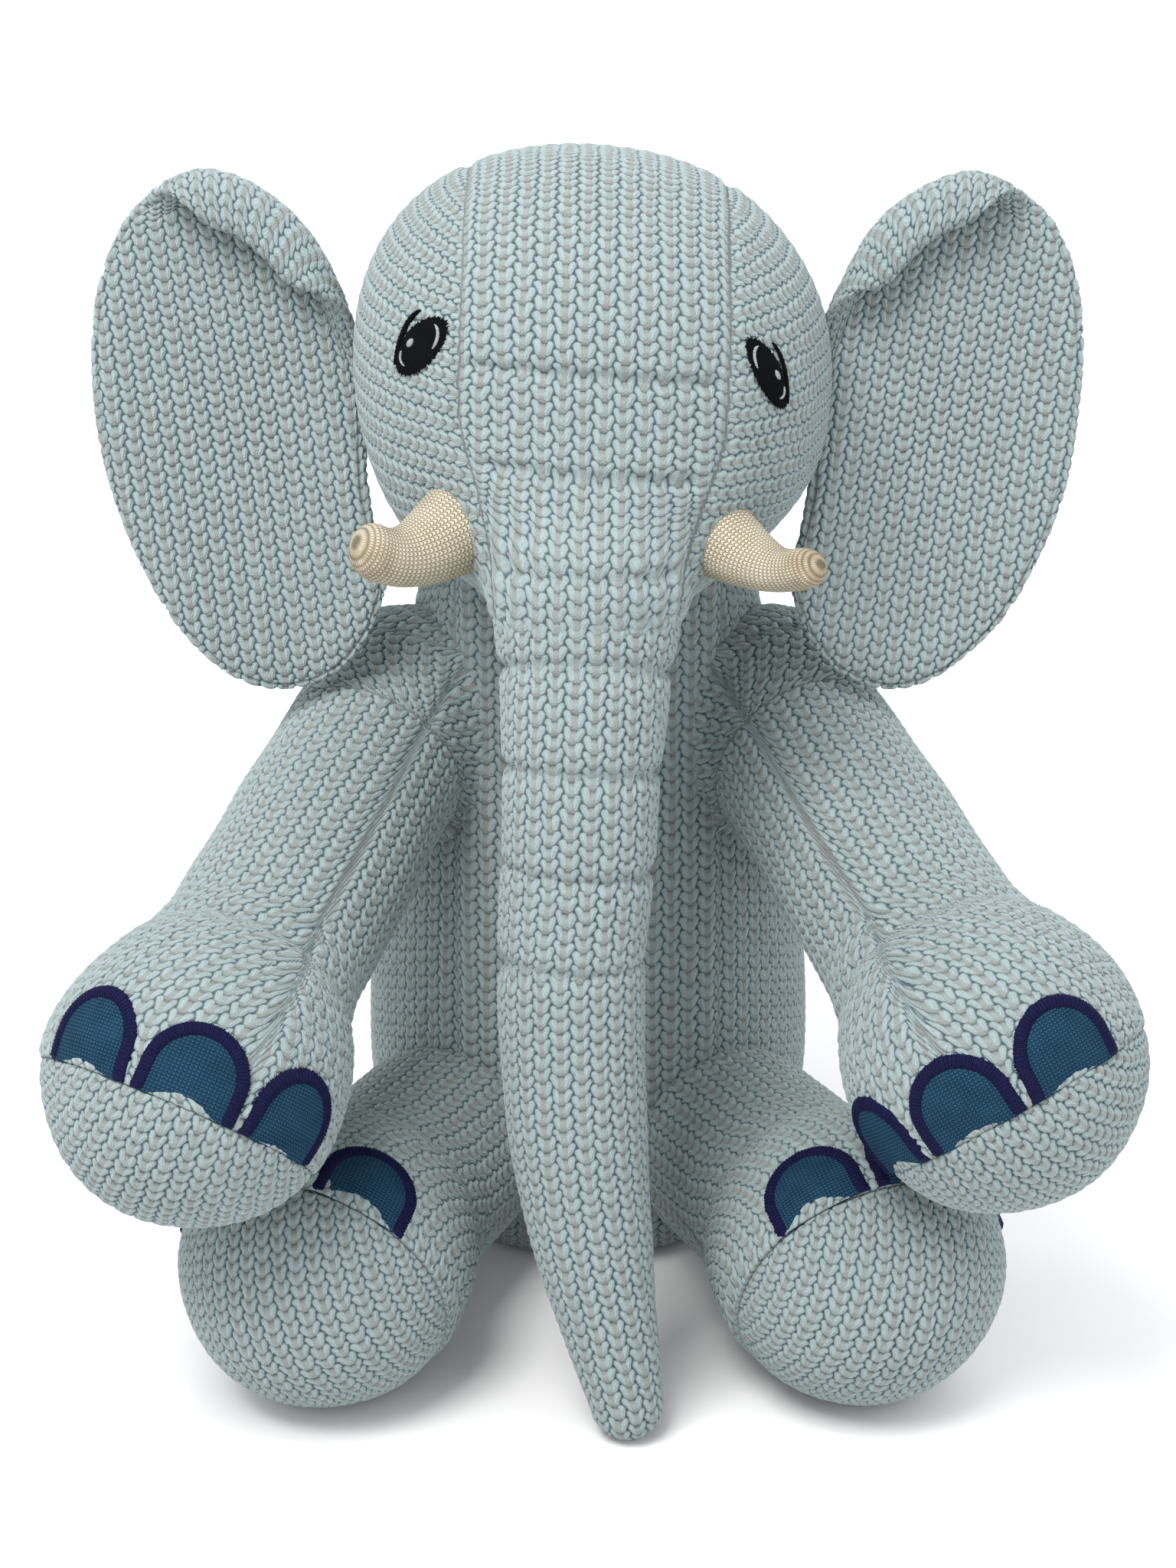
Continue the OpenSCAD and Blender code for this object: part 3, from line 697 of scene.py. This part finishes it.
def nail_frames(leg):
    """For each of a foot's three nails: the unit vectors out of the foot, across the nail and up
    it. The nails stand on the sole seam, NAIL_STEP degrees apart round the foot."""
    up = -unit(np.array(leg["sole"], float))
    tilt, course = math.acos(up[2]), math.atan2(up[1], up[0])
    x0 = np.array([math.cos(tilt) * math.cos(course), math.cos(tilt) * math.sin(course), -math.sin(tilt)])
    y0 = np.array([-math.sin(course), math.cos(course), 0.0])
    frames = []
    for k in (-1, 0, 1):
        g = math.radians(180 + leg["turn"] + k * NAIL_STEP)
        frames.append((math.cos(g) * x0 + math.sin(g) * y0, -math.sin(g) * x0 + math.cos(g) * y0, up))
    return frames


def nail_cover(points, leg):
    """1 where a point of the foot lies under a nail, 0 clear of it."""
    q = points - np.array(leg["foot"], float)
    covered = np.zeros(points.shape[:-1])
    for out, across, up in nail_frames(leg):
        a, h, depth = q @ across, q @ up + leg["edge"], q @ out
        straight = np.maximum(np.abs(a) - NAIL_W / 2, -h - 1)
        arch = np.hypot(a, np.maximum(h - (NAIL_H - NAIL_W / 2), 0)) - NAIL_W / 2
        covered = np.maximum(covered, smooth_step(0.2, -1.2, np.maximum(straight, arch)) * (depth > 0))
    return covered


for leg_name, leg in LEGS.items():
    root, foot = np.array(leg["root"], float), np.array(leg["foot"], float)
    sole = unit(np.array(leg["sole"], float))
    r_leg = leg["r"]
    way = unit(foot - root)
    long = np.linalg.norm(foot - root)
    front = leg_name.startswith("front")

    def leg_distance(points):
        """A rod, a ball for the foot and the body's pear, melted into one another."""
        tube = melt(cone(points, root, foot, r_leg - 0.4, r_leg + 1.0),
                    np.linalg.norm(points - foot, axis=-1) - FOOT_R, 15)
        pear = np.hypot(points[..., 0], points[..., 1] - BODY_Y) - body_radius(points[..., 2]) + 1.6
        return melt(tube, pear, 9)

    turn_from = long - 24.0
    total = long + leg["edge"]
    s = np.linspace(0.0, total, int(1.12 * total / FINE))
    swing = smooth_step(turn_from, total, s)[:, None]
    axis = unit(way * (1 - swing) + sole * swing)
    spine = root + np.minimum(s, long)[:, None] * way + np.maximum(s - long, 0)[:, None] * sole
    seam_way = -unit(np.array(leg["seam"], float))
    first = unit(seam_way - axis * (axis @ seam_way)[:, None])
    second = np.cross(axis, first)
    turn = np.linspace(-math.pi, math.pi, int(2 * math.pi * (r_leg + 4) / FINE))
    ray = np.cos(turn)[None, :, None] * first[:, None] + np.sin(turn)[None, :, None] * second[:, None]
    leg_points = reach(spine[:, None], ray, leg_distance, r_leg + 16)
    ankle = 1.1 * np.exp(-((s - (long - 27)) / 3.0) ** 2)
    leg_points = leg_points - ray * ankle[:, None, None]
    # A round closed end at the root, under the body's cloth
    rise, ring = np.linspace(math.pi / 2, 0, int(r_leg * 1.5 / FINE))[:-1], leg_points[:1] - root
    s = np.concatenate([-r_leg * np.sin(rise), s])
    rise = rise[:, None, None]
    leg_points = np.concatenate([root + ring * np.cos(rise) - r_leg * np.sin(rise) * way, leg_points])
    ray = np.concatenate([ray[:1] * np.cos(rise) - np.sin(rise) * way, ray])
    around = lengths(leg_points, 1)
    leg_u = (around - around[:, -1:] / 2) / WALE
    leg_v = -lengths(leg_points, 0) / (WALE * ROW)
    inner_seam = (math.pi - np.abs(turn))[None] * r_leg + 0 * leg_u
    sole_edge = (total - s)[:, None] * 0.9 + 0 * leg_u
    seam = np.minimum(smooth_step(0.2, 2.2, inner_seam), smooth_step(-1.2, 1.6, sole_edge))
    under = nail_cover(leg_points, leg)
    tucked = leg_points[-1:] - 4.0 * ray[-1:] - 1.0 * axis[-1:, None]
    leg_points = np.concatenate([leg_points, tucked])
    ray = np.concatenate([ray, ray[-1:]])
    leg_u, leg_v = (np.concatenate([g, g[-1:]]) for g in (leg_u, leg_v))
    seam = np.concatenate([seam, seam[-1:]])
    under = np.concatenate([under, under[-1:]])
    leg_cloth = knit_piece(f"{leg_name}_cloth", leg_points, ray, leg_u, leg_v, None,
                           seam * (1 - under) + 0.25 * under, lumps=0.4, seed=11, tucked=True)
    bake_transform(leg_cloth)
    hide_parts(f"{leg_name}_cover")

    # The sole: a round panel, its wales running up to the middle nail
    to_nail = nail_frames(leg)[1][0]
    sole_x = np.cross(to_nail, sole)
    spread = math.acos(leg["edge"] / FOOT_R)
    phi = np.linspace(0, spread, int(FOOT_R * spread / FINE))
    phi = np.concatenate([phi, [spread + 0.02]])
    theta = np.linspace(-math.pi, math.pi, int(2 * math.pi * 33.5 / FINE))
    sole_ray = (np.cos(phi)[:, None, None] * sole
                + np.sin(phi)[:, None, None] * (np.cos(theta)[None, :, None] * to_nail
                                                + np.sin(theta)[None, :, None] * sole_x))
    sole_points = foot + FOOT_R * sole_ray
    sole_points[-1] = foot + (FOOT_R - 4.0) * sole_ray[-2] - 1.0 * sole
    flat_r = FOOT_R * phi[:, None]
    sole_u = flat_r * np.sin(theta)[None] / WALE
    sole_v = flat_r * np.cos(theta)[None] / (WALE * ROW)
    sole_seam = smooth_step(-1.2, 1.6, FOOT_R * (spread - phi))[:, None] + 0 * sole_u
    sole_cloth = knit_piece(f"{leg_name}_sole_cloth", sole_points, sole_ray, sole_u, sole_v, leg_name,
                            sole_seam, lumps=0.4, seed=11, tucked=True)
    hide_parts(f"{leg_name}_sole")

# The toenails: arches of fine teal jersey laid on the foot, edged all round but the bottom with a
# thick bead of navy satin stitch.


def jersey_recipe(name, light, dark, pitch, roughness=0.85, stain=None):
    """Fine jersey in the piece's own stitch coordinates: each stitch a V of two slanting threads, from the
    wave of a row count shifted by the distance to its wale's middle. The lines between threads and the ditch
    between wales are painted dark as shade, and patches and fibres vary the tone at random. A stain browns
    the cloth within 9 mm of a point and of its mirror image."""
    r = Recipe(name)
    u, v = r.uv("stitches")
    across = r.sum("ABSOLUTE", r.sum("SUBTRACT", r.sum("FRACT", u), 0.5))
    slant = r.sum("MULTIPLY_ADD", across, -1.1, v)
    thread = r.sum("ABSOLUTE", r.sum("SINE", r.sum("MULTIPLY", slant, math.pi)))
    ditch = r.ramp(across, 0.5, 0.3)
    cover = r.sum("MULTIPLY", r.ramp(thread, 0.05, 0.7), r.sum("MULTIPLY_ADD", ditch, 0.75, 0.25))
    fibre = r.noise(3000.0, 2.0)
    patch = r.noise(160.0, 2.0)
    # Painted shade: the tone follows cover, so the lines between threads and the wale ditches come out dark
    tone = r.sum("ADD", r.sum("MULTIPLY", cover, 0.75), r.sum("MULTIPLY_ADD", patch, 0.7, -0.25), clamp=True)
    tone = r.sum("MULTIPLY", tone, r.sum("MULTIPLY_ADD", fibre, 0.6, 0.7))
    cloth = r.mix(tone, dark, light)
    if stain:
        mirrored = r.add("ShaderNodeVectorMath", operation="ABSOLUTE")
        r.put(mirrored.inputs[0], r.add("ShaderNodeTexCoord").outputs["Object"])
        away = r.add("ShaderNodeVectorMath", operation="DISTANCE")
        r.put(away.inputs[0], mirrored.outputs[0])
        away.inputs[1].default_value = tuple(abs(c) for c in stain)
        soiled = r.sum("MULTIPLY", r.ramp(away.outputs["Value"], 0.009, 0.002),
                       r.ramp(r.noise(260.0), 0.3, 0.6))
        cloth = r.mix(r.sum("MULTIPLY", soiled, 0.6), cloth, (0.30, 0.21, 0.13, 1))
    r.put(r.shader.inputs["Base Color"], cloth)
    r.bump(r.sum("MULTIPLY_ADD", fibre, 0.3, cover), pitch)
    return r.finish(roughness, specular=0.05)


def satin_recipe(name, light, dark, roughness=0.55):
    """Satin stitch: threads lie side by side across the bead, so the tone and the bump are a fast wave along
    it, broken up by noise. The dark part of the tone's wave, in the grooves between threads, is painted
    shade."""
    r = Recipe(name)
    u, v = r.uv("stitches")
    fray = r.noise(1800.0, 2.0)
    wave = r.sum("SINE", r.sum("ADD", r.sum("MULTIPLY", u, 2 * math.pi), r.sum("MULTIPLY", fray, 5.0)))
    thread = r.sum("MULTIPLY_ADD", wave, 0.5, 0.5)
    # Painted shade: each thread's colour falls to the dark one in the grooves between threads
    r.put(r.shader.inputs["Base Color"], r.mix(r.sum("MULTIPLY", thread, fray), dark, light))
    r.bump(thread, 0.00025)
    return r.finish(roughness, specular=0.04)


teal_jersey = jersey_recipe("teal_jersey", (0.017, 0.058, 0.105, 1), (0.004, 0.018, 0.036, 1), 0.0003)
navy_satin = satin_recipe("navy_satin", (0.020, 0.022, 0.085, 1), (0.005, 0.005, 0.026, 1))


def arch_path(w, h, count):
    """Points of an arch w wide and h high: up one side, half round and down, evenly spaced."""
    leg_length = h - w / 2
    whole = 2 * leg_length + math.pi * w / 2
    d = np.linspace(0, whole, count)
    a = (d - leg_length) / (w / 2)
    arc = np.clip(a, 0, math.pi)
    x = np.where(d < leg_length, -w / 2, np.where(a > math.pi, w / 2, -w / 2 * np.cos(arc)))
    y = np.where(d < leg_length, d, np.where(a > math.pi, whole - d, leg_length + w / 2 * np.sin(arc)))
    return x, y, whole


def on_foot(leg, frame3, a, h, lift):
    """A point a across and h up a nail, laid on the foot's ball and raised by lift."""
    out, across, up = frame3
    flat = a[..., None] * across + (h - leg["edge"])[..., None] * up
    deep = np.sqrt(np.clip(FOOT_R ** 2 - a ** 2 - (h - leg["edge"]) ** 2, 0, None))
    way = unit(flat + deep[..., None] * out)
    return np.array(leg["foot"], float) + way * (FOOT_R + lift)[..., None], way


for leg_name, leg in LEGS.items():
    for number, frame3 in enumerate(nail_frames(leg), 1):
        # The jersey: rings of the arch shrunk towards the nail's middle
        x, y, whole = arch_path(NAIL_W - 1.6 * BORDER_W, NAIL_H - 0.8 * BORDER_W, 130)
        x, y = np.append(x, x[0]), np.append(y, y[0])
        share = np.linspace(0, 1, 26)[:, None]
        a, h = share * x[None], 8.0 + share * (y[None] - 8.0)
        lift = 0.75 + 0.35 * (1 - share ** 3) + 0 * a
        nail_points, nail_hint = on_foot(leg, frame3, a, h, lift)
        nail_points[:, -1] = nail_points[:, 0]
        nail = sew_mesh(f"{leg_name}_nail_{number}", nail_points, a / 0.95, h / 0.8, teal_jersey,
                        leg_name, True, nail_hint)
        # The border: a bead along the arch, ragged where its threads enter the knit
        x, y, whole = arch_path(NAIL_W - BORDER_W, NAIL_H - BORDER_W / 2, 300)
        tangent = unit(np.stack([np.gradient(x), np.gradient(y)], -1))
        rag = 0.22 * np.sin(np.arange(300) * 1.9) + 0.18 * np.sin(np.arange(300) * 0.83 + number)
        section = np.linspace(-1, 1, 13)[:, None]
        wide = BORDER_W / 2 + rag * (np.abs(section) > 0.95) * 1.3
        a = x[None] - tangent[None, :, 1] * section * wide
        h = np.maximum(y[None] + tangent[None, :, 0] * section * wide, -0.3)
        ends = smooth_step(0, 6, np.minimum(np.arange(300), 299 - np.arange(300)))
        lift = 0.1 + (1.35 * np.sqrt(np.clip(1 - section ** 2, 0, 1))
                      + 0.10 * np.sin(np.arange(300) * 1.3)) * (0.35 + 0.65 * ends)
        border_points, border_hint = on_foot(leg, frame3, a, h, lift + 0 * a)
        run = np.arange(300)[None] * whole / 300 / 0.42 + 0 * a
        border = sew_mesh(f"{leg_name}_nail_border_{number}", border_points, run, section + 0 * a,
                          navy_satin, leg_name, False, border_hint)
        if number == 1:
            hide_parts(f"{leg_name}_nails")
            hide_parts(f"{leg_name}_nail_borders")

# The eyes: ovals of black satin stitch worked through the side panels, with a stitched line
# outside each, a white glint, and thin white crescents at the rim.
dark_thread = satin_recipe("eye_thread", (0.008, 0.010, 0.011, 1), (0.002, 0.002, 0.003, 1), 0.8)
white_thread = satin_recipe("white_thread", (0.50, 0.52, 0.50, 1), (0.30, 0.32, 0.31, 1))
EYE_P, EYE_AZIMUTH, EYE_RISE = np.array([40.8, -34.0, 255.2]), 44.0, 16.0


def eye_axes(mirror):
    """The eye's two directions on the head: across it, and up its long axis."""
    az, rise, roll = (math.radians(d) for d in (EYE_AZIMUTH, EYE_RISE, 44.0 if mirror < 0 else 32.0))
    a0 = np.array([math.cos(az), math.sin(az), 0.0])
    b0 = np.array([-math.sin(az) * math.sin(rise), math.cos(az) * math.sin(rise), math.cos(rise)])
    a, b = math.cos(roll) * a0 + math.sin(roll) * b0, -math.sin(roll) * a0 + math.cos(roll) * b0
    flip = np.array([mirror, 1, 1])
    return EYE_P * flip, a * flip * (1.0 if mirror < 0 else 0.84), b * flip


def on_head(mirror, a, b, lift):
    """A point a across and b up an eye, laid on the head by a ray from its middle, then raised."""
    at, across, up = eye_axes(mirror)
    flat = at + a[..., None] * across + b[..., None] * up
    way = unit(flat - HEAD_AT)
    points = reach(HEAD_AT, way, head_distance, 100) + way * lift[..., None]
    return rolled(points), way


def eye_patch(name, mirror, middle, half, lift, material, rag):
    """A domed almond of satin stitch, pointed a little at both ends: rings shrunk to the middle,
    the outermost ones ragged by three fast waves."""
    theta = np.linspace(-math.pi, math.pi, 361)[None]
    share = np.linspace(0, 1, 20)[:, None]
    frayed = 1 + rag * smooth_step(0.86, 1, share) * (np.sin(theta * 53) + np.sin(theta * 31 + 1)
                                                      + 0.9 * np.sin(theta * 97 + 2))
    y = half[1] * share * frayed * np.sin(theta)
    x = half[0] * share * frayed * np.cos(theta) * np.abs(np.cos(theta)) ** 0.15
    a, b = middle[0] + x, middle[1] + y
    height = lift * (0.45 + 0.55 * np.sqrt(np.clip(1 - share ** 2, 0, 1))) + 0 * a
    points, way = on_head(mirror, a, b, height)
    points[:, -1] = points[:, 0]
    return sew_mesh(name, points, (x * 0.5 + y) / 0.35, x, material, "head", True, way)


def eye_stroke(name, mirror, path, width, lift, material):
    """A stitched line: a thin bead along a smooth curve through the given points."""
    path = np.array(path, float)
    t = np.linspace(0, 1, len(path))
    fine = np.linspace(0, 1, 120)
    fit = np.polyfit(t, path, min(3, len(path) - 1))
    line = np.stack([np.polyval(fit[:, 0], fine), np.polyval(fit[:, 1], fine)], -1)
    tangent = unit(np.gradient(line, axis=0))
    section = np.linspace(-1, 1, 9)[:, None]
    thin = width / 2 * np.sqrt(np.clip(np.sin(math.pi * fine) * 1.4, 0.05, 1)) * (
        1 + 0.16 * np.sin(fine * 130) + 0.14 * np.sin(fine * 83 + 1))[None]
    a = line[None, :, 0] - tangent[None, :, 1] * section * thin
    b = line[None, :, 1] + tangent[None, :, 0] * section * thin
    height = lift * (0.3 + 0.7 * np.sqrt(np.clip(1 - section ** 2, 0, 1))) + 0 * a
    points, way = on_head(mirror, a, b, height)
    run = lengths(line)[None] / 0.4 + 0 * a
    return sew_mesh(name, points, run, section + 0 * a, material, "head", False, way)


for side_name, mirror in (("right", -1.0), ("left", 1.0)):
    eye = eye_patch(f"eye_{side_name}_oval", mirror, (-0.9, 0.2), (5.0, 10.2), 1.2, dark_thread, 0.032)
    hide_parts(f"eye_{side_name}")
    extras = [
        eye_patch(f"eye_{side_name}_glint", mirror, (1.0, -1.4), (0.9, 1.5), 1.65, white_thread, 0.07),
        eye_stroke(f"eye_{side_name}_rim_inner", mirror, [(0.3, 7.4), (-2.2, 6.9), (-4.0, 4.0)],
                   1.0, 1.4, white_thread),
        eye_stroke(f"eye_{side_name}_rim_outer", mirror, [(1.3, -5.0), (-0.2, -6.6), (-2.2, -6.2)],
                   0.8, 1.4, white_thread),
        eye_stroke(f"eye_{side_name}_lid", mirror,
                   [(6.0, 4.8), (6.3, 0.6), (4.6, -3.7), (2.7, -7.4), (0.6, -10.0)], 1.5, 0.9, dark_thread),
    ]

# The tusks: little horns of fine cream jersey, stuffed and sewn to the head behind the trunk.
# Their blunt tips are a little soiled, and the stuffing follows their bend.
cream_jersey = jersey_recipe("cream_jersey", (0.53, 0.49, 0.385, 1), (0.27, 0.22, 0.15, 1), 0.0004,
                             stain=(0.050, -0.059, 0.2145))
TUSK_WALL = 1.2
TUSK_PATH = np.array([[24, -29, 216], [35, -44, 213.5], [41, -50, 208.5], [49, -56, 214]], float)
for side_name, mirror in (("right", -1.0), ("left", 1.0)):
    t = np.linspace(0, 1, 60)[:, None]
    k = [(1 - t) ** 3, 3 * t * (1 - t) ** 2, 3 * t * t * (1 - t), t ** 3]
    line = sum(w * p for w, p in zip(k, TUSK_PATH))
    tangent = unit(np.gradient(line, axis=0))
    radius = 12.0 - 6.6 * smooth_step(-0.2, 0.95, t[:, 0])
    cap = np.linspace(0, math.pi / 2, 14)[1:]
    spine = np.concatenate([line, line[-1] + radius[-1] * np.sin(cap)[:, None] * tangent[-1]])
    tangent = np.concatenate([tangent, np.repeat(tangent[-1:], 13, 0)])
    radius = np.concatenate([radius, radius[-1] * np.cos(cap)])
    radius[-1] = 0
    first = unit(np.array([0, 0, 1.0]) - tangent * tangent[:, 2:3])
    second = np.cross(tangent, first)
    theta = np.linspace(-math.pi, math.pi, 97)
    ring = np.cos(theta)[None, :, None] * first[:, None] + np.sin(theta)[None, :, None] * second[:, None]
    tusk_points = spine[:, None] + radius[:, None, None] * ring
    hint = ring + 0.001 * (tusk_points - spine[:1, None])
    hint[-1] = tangent[-1]
    run = lengths(spine)[:, None] + 0 * theta[None]
    uneven = soft_lumps(tusk_points, 0.35, 21)[..., None] * (radius > 0)[:, None, None]
    tusk_points = tusk_points + ring * uneven
    tusk_points[:, -1] = tusk_points[:, 0]
    flip = np.array([mirror, 1, 1])
    tusk = sew_mesh(f"tusk_{side_name}_cloth", rolled(tusk_points * flip), theta[None] * 8.5 / 1.25 + 0 * run,
                    run / 1.05, cream_jersey, "head", True, hint * flip)
    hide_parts(f"tusk_{side_name}")
    # The stuffing: the same path, TUSK_WALL thinner all round
    core = spine[:, None] + np.maximum(radius - TUSK_WALL, 0)[:, None, None] * ring
    core[0], core[-1] = spine[0], spine[-1] - TUSK_WALL * tangent[-1]
    core[:, -1] = core[:, 0]
    wadding = sew_mesh(f"tusk_{side_name}_wadding", rolled(core * flip), 0 * run, run, white_stuffing,
                       "head", True, hint * flip)
    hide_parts(f"tusk_{side_name}_filling")

# The tail: a thin knitted cord of the same yarn, sewn to the back and knotted at its end.
TAIL_AT, TAIL_WAY, TAIL_LONG = np.array([0.0, 112.0, 62.0]), unit(np.array([0, 0.12, -1.0])), 58.0
root_s, tail_s = np.linspace(-5, 0, 12)[:-1], np.linspace(0, TAIL_LONG, 110)
s = np.concatenate([root_s, tail_s, TAIL_LONG + 3.4 * np.sin(cap)])
knot = 1.6 * np.exp(-((tail_s - 47) / 3.4) ** 2)
radius = np.concatenate([5 * np.sqrt(np.linspace(0, 1, 12)[:-1]), 5 - 1.5 * np.linspace(0, 1, 110) + knot,
                         3.5 * np.cos(cap)])
radius[[0, -1]] = 0
theta = np.linspace(-math.pi, math.pi, 61)
first, second = frame_of(TAIL_WAY, (0, 1, 0))
ring = np.cos(theta)[:, None] * first + np.sin(theta)[:, None] * second
# The root bends forward into the body's back, where it is sewn in
sewn = np.array([0, -1.0, 0.3]) * 11 * np.exp(-(((s + 5) / 7) ** 2))[:, None]
tail_points = TAIL_AT + s[:, None, None] * TAIL_WAY + sewn[:, None] + radius[:, None, None] * ring[None]
tail_u = theta[None] * 6 / math.pi / 1.0 + 0 * s[:, None]
tail_v = s[:, None] / 2.6 + 0 * tail_u
tail_hint = ring[None] + 0.02 * (tail_points - TAIL_AT - TAIL_LONG / 2 * TAIL_WAY)
tail_cloth = knit_piece("tail_cloth", tail_points, tail_hint, tail_u, tail_v, "tail", relief=0.5, lumps=0.0)
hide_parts("tail_cover")
tail_middle = TAIL_AT + s[:, None, None] * TAIL_WAY + sewn[:, None]
tail_core = tail_middle + (tail_points - tail_middle) * 0.6
tail_core[[0, -1]] = tail_middle[[1, -2]]
tail_wadding = sew_mesh("tail_wadding", tail_core, tail_u, tail_v, white_stuffing, "tail", True,
                        ring[None] + 0 * tail_core)
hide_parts("tail_filling")

# Inside: white polyester stuffing in every part, wadding in the ears, and a round bag of pellets
# in plain cloth low in the body. Those not redrawn above keep their modelled shapes. None shows.


def pellet_cloth_recipe():
    """Plain weave: two crossed waves on object coordinates, with a knobbly bump of pellets."""
    r = Recipe("pellet_bag_cloth")
    parts = r.add("ShaderNodeSeparateXYZ")
    r.put(parts.inputs[0], r.add("ShaderNodeTexCoord").outputs["Object"])
    warp = r.sum("SINE", r.sum("MULTIPLY", parts.outputs[0], 7000.0))
    weft = r.sum("SINE", r.sum("MULTIPLY", parts.outputs[1], 7000.0))
    weave = r.sum("MULTIPLY_ADD", r.sum("MULTIPLY", warp, weft), 0.5, 0.5)
    r.put(r.shader.inputs["Base Color"], r.mix(weave, (0.42, 0.38, 0.27, 1), (0.56, 0.52, 0.40, 1)))
    beads = r.add("ShaderNodeTexVoronoi")
    r.put(beads.inputs["Vector"], r.add("ShaderNodeTexCoord").outputs["Object"])
    beads.inputs["Scale"].default_value = 280.0
    r.bump(r.sum("MULTIPLY_ADD", weave, 0.1, beads.outputs["Distance"]), 0.001)
    return r.finish(0.9)


pellet_cloth = pellet_cloth_recipe()
for node_name, node_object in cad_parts.items():
    if node_name.endswith(("filling", "wadding")) or "_filling_" in node_name or node_name == "pellet_bag":
        inner = pellet_cloth if node_name == "pellet_bag" else white_stuffing
        node_object.data.materials.clear()
        node_object.data.materials.append(inner)
